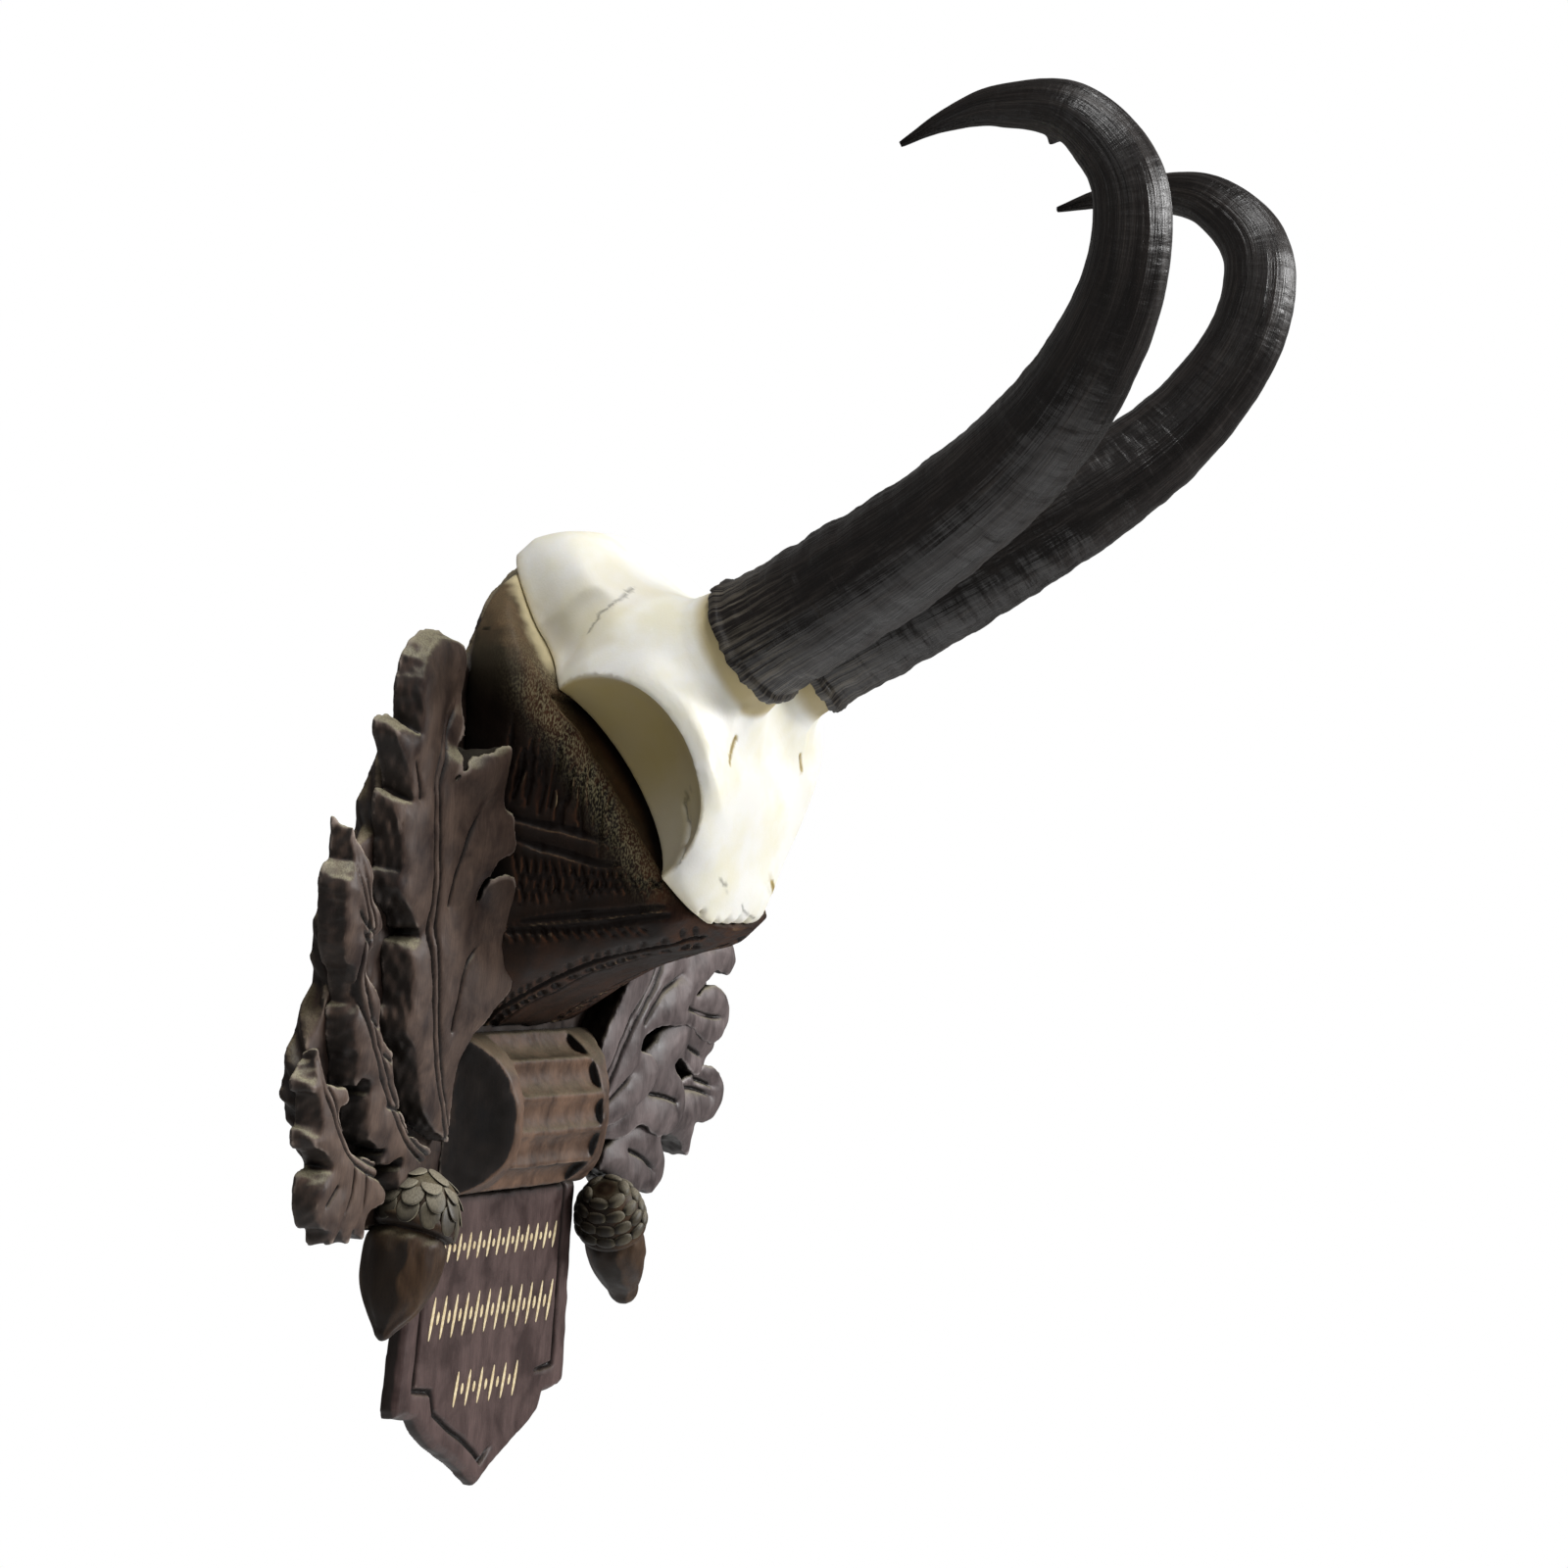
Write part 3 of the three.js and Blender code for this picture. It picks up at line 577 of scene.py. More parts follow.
def bone_marks(where, cracks, slits):
    """Where the bone is cracked or yellowed, for its material; part of the yellow is painted shade."""
    x, v, h = np.abs(where[:, 0]), where[:, 1], where[:, 2]
    from_crack, from_slit = (
        np.min([stick_distance(where.T, a, b, 0, 0) for path in paths for a, b in zip(path, path[1:])], 0)
        for paths in (cracks, slits))
    crack = np.maximum(ease(0.5, 0.05, from_crack), 0.8 * ease(0.5, 0.1, from_slit))
    socket = np.sqrt(sum(((p - c) / r) ** 2 for p, c, r in zip((x, v, h), ORBIT_MIDDLE, ORBIT_HALF)))
    start = to_slope(horn_start(1)[0])
    rim = np.sqrt((x - start[0]) ** 2 + (v - start[1]) ** 2 + (h - start[2]) ** 2)
    ridge = np.interp(x, [8, 21.8, 28.3, 30.3, 31.3], [23, 23.4, 24.8, 26.8, 29.6])
    stain = np.max([
        # Yellow in the socket: stain, and painted shade; less of it low in the socket, as painted light from
        # below.
        0.85 * ease(1.04, 1.0, socket) * ease(37.5, 33, x) * (1 - 0.35 * ease(52, 70, v)),
        # Yellower along the cut edge that rests on the seat.
        0.4 * ease(3, 0, h),
        0.8 * ease(15.0, 13.4, rim),
        ease(1.1, 0.5, from_slit),
        # Painted shade: the bone is a little yellower behind the ridge that runs up from the brow's corner.
        0.2 * ease(1.5, -1, v - ridge) * ease(8, 20, x) * ease(6, 20, v)], axis=0)
    return {"crack": crack * 0.6, "stain": stain}


# Horns

# Each horn's middle line from base to tip as (x, y, z, radius). x counts from the mirror plane outwards.
HORNS = {
    -1: [
        (15.2, -56.3, 78.5, 13.4), (18.5, -75.8, 90.4, 12.8), (22.5, -96.3, 104.1, 12),
        (28, -115.3, 119.4, 11.1), (36, -130, 135.3, 9.7), (41, -139.2, 155.4, 8.2),
        (43.4, -138.7, 174.3, 7.4), (45.4, -127, 186.2, 6.1), (46.9, -112, 187.1, 4),
        (47.8, -101.1, 183.4, 2), (48.4, -92.8, 178.6, 0.5)],
    1: [
        (15.2, -56.4, 77.8, 13.4), (18.6, -75.2, 89.9, 12.8), (22.9, -95.1, 103.3, 11.8),
        (29.5, -113.6, 117.8, 10.6), (37.5, -128, 133, 9.2), (41.7, -138.9, 152.3, 8.1),
        (44.1, -139.3, 170.5, 7.3), (46, -127.3, 181.5, 5.6), (47.2, -112.5, 183, 3.6),
        (47.9, -101.4, 181.2, 2), (48.4, -92.3, 178.7, 0.5)],
}
HORN_STEPS = 360
HORN_SIDES = 112
HORN_STATIONS = 300
BARE_CORE = 2                   # stations at the base that leave the bone collar bare
HORN_MARKS = ("around_x", "around_y", "along")


def horn_start(side):
    """Middle of a horn's base, and the way that it grows."""
    path = np.array(HORNS[side], float)
    path[:, 0] *= side
    curve = spline(path, 200)
    along = curve[1, :3] - curve[0, :3]
    return curve[0, :3], along / np.linalg.norm(along)


def horn_tree():
    """Sweeps a circle along a curve, then raises fibres, growth rings and a frayed rim."""
    tree, sockets, put, given = new_tree("horn sheath", {
        "Sides": "Int", "Steps": "Int", "Fibre Depth": "Float", "Ring Depth": "Float", "Fray": "Float",
        "Seed": "Float"})
    curve = put("ResampleCurve", {"Curve": given["Geometry"], "Count": given["Steps"]})
    length = put("SplineParameter").outputs["Length"]
    curve = put("StoreNamedAttribute", {"Geometry": curve, "Name": "along", "Value": length})
    circle = put("CurvePrimitiveCircle", {"Resolution": given["Sides"], "Radius": 1.0})
    around = put("SeparateXYZ", [put("InputPosition")]).outputs
    for mark, value in zip(HORN_MARKS, around[:2]):
        circle = put("StoreNamedAttribute", {"Geometry": circle, "Name": mark, "Value": value})
    sheath = put("CurveToMesh", {
        "Curve": curve, "Profile Curve": circle, "Scale": put("InputRadius"), "Fill Caps": True})
    # Lengths in the tree are metres, and the two places round the horn are in radii.
    x, y, length = (put("InputNamedAttribute", {"Name": mark}) for mark in HORN_MARKS)
    along = put("Math", [length, MM], operation="DIVIDE")
    place = put("CombineXYZ", [x, y, along])
    heights = []
    for scale, depth in (((9.0, 9.0, 0.03), "Fibre Depth"), ((1.1, 1.1, 0.16), "Ring Depth")):
        spot = put("VectorMath", [place, scale], operation="MULTIPLY")
        noise = put("TexNoise", {"Vector": spot, "W": given["Seed"], "Scale": 1.0, "Detail": 3.0},
                    noise_dimensions="4D")
        raised = put("Math", [noise, 0.5], operation="SUBTRACT")
        heights.append(put("Math", [raised, given[depth]], operation="MULTIPLY"))
    # Rings are strong near the base and fade over the first two thirds of the horn.
    fade = put("MapRange", [along, 20.0, 130.0, 1.0, 0.15])
    rings = put("Math", [heights[1], fade], operation="MULTIPLY")
    height = put("Math", [heights[0], rings], operation="ADD")
    # Frayed rim: the first millimetres turn out and end unevenly.
    edge = put("MapRange", [along, 2.2, 0.0, 0.0, 1.0], interpolation_type="SMOOTHSTEP")
    spot = put("VectorMath", [place, (4.5, 4.5, 0.5)], operation="MULTIPLY")
    ragged = put("TexNoise", {"Vector": spot, "Scale": 1.0, "Detail": 3.0})
    flare = put("Math", [edge, given["Fray"]], operation="MULTIPLY")
    flare = put("Math", [flare, ragged], operation="MULTIPLY")
    for amount in (height, flare):
        lift = put("VectorMath", {0: put("InputNormal"), "Scale": amount}, operation="SCALE")
        sheath = put("SetPosition", {"Geometry": sheath, "Offset": lift})
    close_tree(put, given, put("StoreNamedAttribute", {"Geometry": sheath, "Name": "along", "Value": along}))
    return tree, sockets


# The chip inside the left hook and the splinter beside it: middle, half width and height, in millimetres
CHIP = [((-45.2, -126.2, 180.3), 1.8, -1.6), ((-45.2, -123.5, 181.5), 1.1, 1.5)]
CHIP_OUT = np.array([0.0, 0.5, -0.87])


def chip(piece):
    """Pushes the horn's surface in at the chip and out at the splinter."""
    where = np.empty(3 * len(piece.data.vertices))
    piece.data.vertices.foreach_get("co", where)
    where = where.reshape(-1, 3)
    for middle, width, height in CHIP:
        gap = np.linalg.norm(where / MM - middle, axis=1)
        where += height * MM * np.exp(-(gap / width) ** 2)[:, None] * CHIP_OUT
    piece.data.vertices.foreach_set("co", where.ravel())
    piece.data.update()


def horn(side, name, tree, sockets, material):
    path = np.array(HORNS[side], float)
    path[:, 0] *= side
    curve = bpy.data.curves.new(name, "CURVE")
    curve.dimensions = "3D"
    line = curve.splines.new("POLY")
    stations = spline(path, HORN_STATIONS)[BARE_CORE:]
    line.points.add(len(stations) - 1)
    for point, (x, y, z, radius) in zip(line.points, stations):
        point.co = (x * MM, y * MM, z * MM, 1.0)
        point.radius = max(radius, 0.4) * MM
    piece = grow(f"horn_{name}_sheath", tree, sockets, {
        "Sides": round(HORN_SIDES / COARSER), "Steps": round(HORN_STEPS / COARSER), "Fibre Depth": 0.9 * MM,
        "Ring Depth": 2.4 * MM, "Fray": 2.2 * MM, "Seed": 3.0 + side, "Material": material}, curve)
    if side < 0:
        chip(piece)
    finish_piece(piece, material, "horn", f"horn_{name}")


# Seat

# Half outlines of the top, as (x, v) on the slope, and of the back, as (x, z) on the board
SEAT_TOP = [
    (0, 2.6), (12, 2.6), (22, 3.2), (29, 6.5), (35, 11.5), (39, 17), (41.5, 24), (41.5, 31), (38.5, 38),
    (34, 46), (31.5, 57), (30, 69), (28, 79), (23.5, 85.5), (13, 88.5), (0, 89)]
SEAT_BACK = [
    (0, 90.5), (12, 90.4), (21, 89.6), (28, 87), (34, 82.5), (38, 77), (40, 71), (40, 63), (39.5, 53),
    (39.5, 42), (39.5, 30), (39.5, 18), (39, 5), (34, -3), (18, -6), (0, -6.3)]
SEAT_STEP = 0.5
SEAT_GAP = 0.2                  # between the seat's top and the plane under the skull
SEAT_RINGS = 13                 # steps of the loft from the board to the lip
LIP_HEIGHT = 8.0


def whole_outline(half, count):
    points = spline(half, count)
    return np.vstack([points, points[-2:0:-1] * (-1, 1)])


def seat_block():
    """The seat as a smooth loft from the board to the slope, turned into distances."""
    back = whole_outline(SEAT_BACK, 90)
    top = whole_outline(SEAT_TOP, 90)
    ring_back = np.column_stack([back[:, 0], np.full(len(back), -BOARD_THICK), back[:, 1]])
    ring_top = to_object(np.column_stack([top, np.full(len(top), -SEAT_GAP)]))
    depth = -SEAT_GAP - LIP_HEIGHT * ease(2.6, 50, top[:, 1])
    ring_foot = to_object(np.column_stack([top[:, 0] * 1.02, top[:, 1], depth]))
    rings = [ring_back * (1 - s) + ring_foot * s for s in np.linspace(0, 1, SEAT_RINGS + 1)[:-1]]
    # The lower edge arches up a little between the board and the front.
    low_part = ease(20, -6, ring_back[:, 2])[:, None] * np.array([0, 0, 2.6])
    rings = [ring + low_part * math.sin(math.pi * k / SEAT_RINGS) for k, ring in enumerate(rings)]
    rings += [ring_foot, ring_top]
    count = len(back)
    points = np.vstack(rings + [ring_back.mean(0), ring_top.mean(0)])
    last = (len(rings) - 1) * count
    sides = [(i, (i + 1) % count) for i in range(count)]
    quads = [(r + i, r + j, r + count + j, r + count + i) for r in range(0, last, count) for i, j in sides]
    caps = [(j, i, last + count) for i, j in sides]
    caps += [(last + i, last + j, last + count + 1) for i, j in sides]
    block = Block((-47, -58, -12), (47, -2, 97), SEAT_STEP)
    local = ((points - block.low) / block.step).astype(np.float32)
    grid = openvdb.FloatGrid.createLevelSetFromPolygons(
        local, triangles=np.array(caps, np.uint32), quads=np.array(quads, np.uint32), halfWidth=8.0)
    grid.copyToArray(block.field)
    block.field *= block.step
    return block


def side_place(block, y, z, side):
    """The place on the seat's side at a depth and height."""
    j, k = (int(round((c - block.low[i]) / block.step)) for i, c in ((1, y), (2, z)))
    column = block.field[:, j, k]
    inside = np.nonzero(column < 0)[0]
    if not len(inside):
        return None
    return block.axes[0][inside[0] if side < 0 else inside[-1]]


def tapered_cut(block, points, width, blend):
    ends = np.sin(np.linspace(0.35, math.pi - 0.35, len(points)))
    block.stick(points, width * (0.45 + 0.55 * ends), blend, cut=True)


def gouge(block, path, width, side, deep=0.5):
    """A cut that follows the seat's side through places (y, z). deep is its share of a half circle."""
    points = []
    for y, z in spline(path, max(4, 3 * len(path))):
        x = side_place(block, y, z, side)
        if x is not None:
            points.append((x + side * width * (1 - deep), y, z))
    if len(points) > 1:
        tapered_cut(block, points, width, 0.3)


# Cuts on the seat's side, as (y, z): two pairs of long grooves, and the edge of the band below.
LONG_GROOVES = [
    [(-15.4, 38.9), (-21, 38), (-26.7, 37.4), (-32.5, 36.2), (-38.5, 35)],
    [(-16, 34.8), (-21.5, 33.4), (-26.6, 32.6), (-34.3, 30.9), (-40, 31.6)],
    [(-18.6, 17.4), (-24.1, 18.6), (-29.6, 19.7), (-38.6, 21.4), (-47.5, 23.4)],
    [(-17, 15.4), (-24.4, 16.4), (-33, 17.9), (-42, 20.2), (-48, 21.6)],
]
# The long cut over the lower band, as (x, y, z) on the left, and the way from it to the seat's keel.
BAND_EDGE = [
    (-19, -6, -5.4), (-21.8, -10.5, -2.3), (-22, -15.2, 0.4), (-21.4, -20.2, 3.1), (-21.1, -28.6, 7.7),
    (-19.9, -34, 10.2), (-18.2, -39.1, 12.5), (-14.6, -48.1, 16.5), (-6.4, -50.5, 16.9)]
BAND_DOWN = np.array([3.2, 0.5, -1.6])


def surface_cut(block, path, width, side):
    """A cut along the seat's surface through places (x, y, z) that lie near it."""
    points = [block.on_surface(place * (-side, 1, 1)) for place in spline(path, max(4, 3 * len(path)))]
    tapered_cut(block, points, width, 0.25)


def seat_half_width(v):
    return np.interp(v, [p[1] for p in SEAT_TOP[1:]], [p[0] for p in SEAT_TOP[1:]])


def skull_seat(wood):
    block = seat_block()
    x, y, z = np.ix_(*block.axes)
    block.field = box_blur(box_blur(block.field, 0, 1), 2, 1)
    v = (y - SLOPE_TOP[1]) * DOWN[1] + (z - SLOPE_TOP[2]) * DOWN[2]
    h = (y - SLOPE_TOP[1]) * OUT[1] + (z - SLOPE_TOP[2]) * OUT[2]
    # The ridge round the skull is chamfered, and the top is sunk a little inside it.
    past_ridge = np.abs(x) - seat_half_width(v)
    chamfer = 1.2 + 2.2 * ease(24, 36, v)
    block.keep((past_ridge + chamfer + h) * 0.7, 1.5)
    inside = np.maximum(-h - 1.6, (past_ridge + 4.2) * 0.8)
    inside = np.maximum(inside, np.maximum(34 - v, v - 84))
    block.keep(-inside, 0.8)
    block.field = (block.field + 0.14 * waves((x, y, z), 9, 5)).astype(np.float32)
    uncut = block.field.copy()
    rng = np.random.default_rng(8)
    for side in (-1, 1):
        for path in LONG_GROOVES:
            gouge(block, path, 0.95, side, 0.62)
        fan_gouges(block, side, rng)
        cross_hatch(block, side, rng)
        scale_band(block, side, rng)
    block.field = block.field.astype(np.float32)
    depth = block.field - uncut
    piece = block.skin("skull_seat_carving", simplify=0.008, marks=lambda where: {
        **seat_marks(where), "cut": ease(0.1, 0.5, block.sample(depth, where))})
    finish_piece(piece, wood, "seat_wood", "skull_seat")


def seat_marks(where):
    """Where the seat is stippled with dust, along its ridge, and bare, on the flat beside the bone, and where
    its top is painted a little paler as painted light.
    """
    x = np.abs(where[:, 0])
    gap = where - SLOPE_TOP
    v, h = gap @ DOWN, gap @ OUT
    from_ridge = np.hypot((seat_half_width(v) - x - 1.5) * 0.8, (h + 3.2) * 0.7)
    stippled = np.exp(-(from_ridge / 2.3) ** 2) * ease(22, 34, v) * ease(84, 70, v)
    corner = 0.8 * np.exp(-((v - 30) ** 2 + (x - 34) ** 2) / 60) * ease(-9, -3, h)
    stippled = 0.5 * np.maximum(stippled, corner)
    bone_edge = np.interp(v, [1.3, 10.1, 19.9, 29.2], [19.5, 25.5, 28.8, 29.2])
    bare = ease(7.5, 1.5, x - bone_edge + 0.8 * waves((v, where[:, 2]), 4, 6)) * ease(-3.4, -1.2, h)
    bare = 0.8 * bare * ease(31, 24, v) * ease(2, 6, v)
    # Painted light: the upper part of the seat is painted a little paler, carried in the bare mark.
    painted_top_light = 0.05 * ease(60, 76, where[:, 2])
    return {"stippled": stippled, "bare": np.maximum(bare, painted_top_light)}


def fan_gouges(block, side, rng):
    """Rough upright cuts that fan out below the corner of the brow."""
    for k in range(34):
        share = k / 33
        top = (-16 - 20 * share + rng.uniform(-1, 1), 56 - 9 * share + rng.uniform(-4, 4))
        foot = (top[0] + 2.5 - 3.5 * share + rng.uniform(-0.8, 0.8), top[1] - rng.uniform(7, 13))
        gouge(block, [top, foot], rng.uniform(0.35, 0.6), side, 0.5)


def cross_hatch(block, side, rng):
    """Shallow crossing cuts between the two pairs of long grooves, and below them."""
    for k in range(15):
        y = -17 - 1.9 * k
        low = 20 + 0.22 * (-y - 18)
        gouge(block, [(y, 31 - 0.1 * k), (y - 2.6 + rng.uniform(-0.5, 0.5), low + 1)], 0.42, side, 0.45)
        gouge(block, [(y - 2.8, 30.5 - 0.1 * k), (y - 0.2, low + 1 + rng.uniform(-1, 1))], 0.36, side, 0.4)
    for k in range(14):
        y = -15 - 2.1 * k
        gouge(block, [(y, 14.5 - 0.1 * y), (y - 1.6, 10.4 - 0.16 * y)], 0.4, side, 0.45)


def scale_band(block, side, rng):
    """Ticks over a long cut, and small chip-carved teeth under it, along the side's lower edge."""
    edge = spline(BAND_EDGE, 60)
    surface_cut(block, edge[::4], 1.3, side)
    surface_cut(block, edge[6:54:4] + BAND_DOWN * 2.6, 0.6, side)
    for place in edge[3:57:3]:
        lean = rng.uniform(-0.3, 0.3)
        surface_cut(block, [place - BAND_DOWN * 0.5, place - BAND_DOWN * 1.5 + (0, -1 + lean, 0)], 0.5, side)
        surface_cut(block, [place + BAND_DOWN * 0.9, place + BAND_DOWN * 2.1], 0.9, side)


# Oak leaves in relief

LEAF_FOOT = 4.8                 # where the leaf's sides meet the board
MIDRIB_HALF = 1.0               # half width of the rib between its two cuts
VEIN_DEPTH = 0.85
RIB_CUT, VEIN_CUT = 0.36, 0.4   # half widths of the cuts beside the rib and of the veins
BLADE_REACH = 3.2               # how far from a vein the blade has swollen
LEAF_STEP = 0.37

# Each leaf: its rib from stem to tip as (x, depth in front of the wall, z), its outline as
# (x, z, depth of the face there), and its veins as (x, z). x counts from the mirror plane outwards.
# flare is how far the walls lean out on the outer side and above, and in beside the seat. swell is how
# far the blade rises between the veins and falls at its edge. A leaf with ribbed 0 has no midrib.
TALL_LEFT = {
    "rib": [
        (38.3, 9, -27.3), (42.9, 9.8, -22.2), (49.2, 10.8, -14.4), (53.4, 11.4, -5.7), (56, 11.7, 2.9),
        (58.6, 11.8, 13), (59.6, 11.7, 20.9), (60.9, 11.5, 31.5), (61.4, 11.3, 37.5), (62, 11, 44.2),
        (59.5, 10.4, 50.9), (56.2, 9.6, 59.6), (52.9, 9.2, 62.6)],
    "outline": [
        (36.6, -29.5, 8.5), (41, -27.9, 9), (49.3, -24.7, 9.5), (55.7, -19.1, 10), (58.7, -12.1, 10.2),
        (60.6, -8.8, 10.3), (64.2, -5.6, 9.8), (64.5, -3, 9.8), (64.1, -1.4, 10.2), (64.6, 5, 10.3),
        (65.8, 10.2, 10.3), (62, 13.4, 10), (62.4, 15, 10), (64.8, 15.9, 10.5), (67, 18.2, 10.5),
        (71.7, 21.3, 10.3), (73.8, 23.8, 9.8), (73.3, 26.1, 9.8), (73, 26.7, 10.3), (74.1, 32.2, 10.2),
        (74.8, 36.3, 10), (74.6, 34.3, 9.8), (76.3, 38.3, 9.2), (75.9, 40.2, 9), (71.2, 40.7, 10.6),
        (71.6, 42, 11), (73, 45.7, 10.5), (76.6, 50.8, 10), (79.2, 54.5, 9), (75.5, 55.2, 9.4),
        (70.5, 54.2, 10.5), (70.3, 56.3, 10.5), (70.6, 62.9, 10), (68.7, 68.6, 9), (62.2, 73.4, 8),
        (57.1, 73.9, 8), (49.7, 72.8, 8), (48.9, 69.5, 8.5), (50.1, 61.7, 9), (53.4, 52.1, 10.5),
        (57.3, 45.3, 12), (55.9, 48.4, 14), (50.7, 51.6, 16), (42.7, 53.7, 17), (42.7, 49.1, 17),
        (42.2, 41.2, 16.5), (39.4, 39.2, 17.5), (39, 36.6, 18), (38.9, 31.7, 18), (43.4, 29.3, 16.5),
        (44.2, 20.9, 13), (45.4, 25.3, 15), (42.2, 26.8, 16.5), (36.8, 26.8, 17.5), (34.8, 23.8, 17.5),
        (33, 16, 17), (32.6, 9.8, 16), (31.2, 7, 16.5), (30.5, 3, 16), (33.4, 0, 15), (36.3, -3.5, 14),
        (39.2, -7, 12.5), (40.8, -11.5, 11), (40.5, -17, 10), (37.9, -24.1, 9)],
    "flare": (0.55, 0.6, 0.45),
    "veins": [
        [(71.5, 49.6), (70.2, 45.8), (68.7, 41.6)], [(49.1, 41), (51.9, 34), (54.1, 25.2), (54.4, 20.3)],
        [(40.7, 13), (45.4, 7.9), (47.1, 0.9), (47.5, -5.4)], [(52.7, 61.6), (56.2, 55.8), (57.6, 51.9)]],
}
MIDDLE_LEFT = {
    "rib": [
        (47, 9.2, -32.8), (57.7, 10.5, -28.5), (66.6, 11.1, -22.3), (74.1, 11.5, -14.6), (79.6, 11.6, -8.2),
        (83.7, 11.6, -1.9), (86.8, 11.4, 4.3), (87.3, 11.5, 11.5), (85.8, 11.5, 15.7), (87.9, 11.2, 20.8),
        (90.8, 10.6, 26.9), (92.5, 9.6, 32.9)],
    "outline": [
        (93, 35.2, 9.2), (90.5, 31.4, 10), (86.5, 26.9, 10.5), (85.8, 21.8, 11), (82.5, 18.2, 11.2),
        (80.7, 15.6, 11), (82.7, 13.5, 11), (84.7, 10.4, 11), (85.7, 7.4, 11), (83.2, 4.3, 11.3),
        (79.5, 0.6, 11.3), (78.1, -3.1, 11.3), (77, -6.2, 11.3), (72.3, -8.9, 11.3), (70.1, -11.4, 11.2),
        (70.1, -13.8, 11), (66.5, -18.6, 11), (62.7, -23, 10.8), (57.3, -26.9, 10.5), (49.1, -29.4, 10),
        (45.9, -30.8, 9.5), (50, -33.2, 9.5), (49.4, -35.9, 9.2), (53.9, -38.5, 9), (59.6, -38.1, 9),
        (61.1, -35.9, 9.4), (60, -32.2, 9.8), (61.8, -31, 10), (68.1, -32.4, 9.4), (70, -31.5, 9.6),
        (69.1, -29.1, 10.2), (72.1, -28.5, 9.8), (76.7, -26.4, 9.8), (78.5, -22, 9.8), (78.6, -18.3, 10.2),
        (78.3, -16.3, 10.2), (82.5, -14.2, 10.5), (83.9, -16, 9.4), (84.9, -15, 9.6), (85.3, -10.3, 10.4),
        (86.9, -7.7, 10), (87.8, -3, 10.2), (86.7, 0.6, 10.6), (88.6, 5.3, 10.6), (89.7, 7.1, 10.8),
        (92.4, 9.2, 9.2), (93.8, 11.4, 9.6), (94.9, 16.6, 10), (95.6, 21.2, 10.2), (95.8, 23.4, 10.2),
        (92.7, 27.8, 10), (93.4, 32.4, 9.2)],
    "flare": (0.55, 0.6, 0.0),
    "veins": [
        [(91.4, 19.6), (88.4, 16.6), (83.1, 13.6)], [(89.3, 15.6), (86.1, 12), (85.4, 9.4)],
        [(83.6, -1.9), (79.2, -4)], [(72.3, -20), (64.8, -21.5)], [(76.3, -9.4), (71.2, -11.2)]],
}
LOW_LEFT = {
    "rib": [
        (56.3, 8.6, -35.8), (67.4, 9.8, -34.3), (77.3, 10.5, -32.1), (84.4, 10.5, -28.8),
        (89.6, 10.2, -24.2), (92.5, 10, -20.2), (95, 9.6, -16.3), (97.6, 8.8, -10.5)],
    "outline": [
        (97.8, -8.4, 8.2), (96.1, -11.5, 8.8), (94.1, -15, 9.2), (87.8, -16.3, 9.8), (86.7, -18.7, 9.8),
        (89.6, -20.3, 9.8), (87.6, -23.8, 10), (85.1, -27.8, 10.2), (81.5, -29.6, 10.2), (72.6, -31.6, 10.4),
        (70.5, -34.9, 10.3), (67.1, -38.1, 10), (67.2, -39.9, 9.8), (71.4, -40.9, 9.6), (73.6, -43, 9.6),
        (73.8, -47, 9), (79.4, -44.6, 9.6), (80.2, -47.4, 9), (84.9, -44.9, 9.6), (87.5, -47.2, 9),
        (89.6, -44.4, 9.6), (92.9, -43.3, 9), (95.1, -39.6, 9.6), (94.6, -35.7, 9.8), (91.1, -31.8, 10),
        (93.2, -29.5, 10), (98.6, -26.5, 9.2), (97.1, -24.9, 9.6), (97, -21.1, 9.6), (98.7, -17.2, 9.2),
        (101.1, -15.8, 8.6), (99.3, -14.3, 8.8), (98.3, -11.4, 8.4)],
    "flare": (0.55, 0.6, 0.0),
    "veins": [
        [(76.2, -41.6), (76.5, -36.6), (76.9, -33.1)], [(84.7, -42.1), (82.8, -37.3), (82.2, -32.4)],
        [(92.2, -39.8), (88.5, -35.5)]],
}
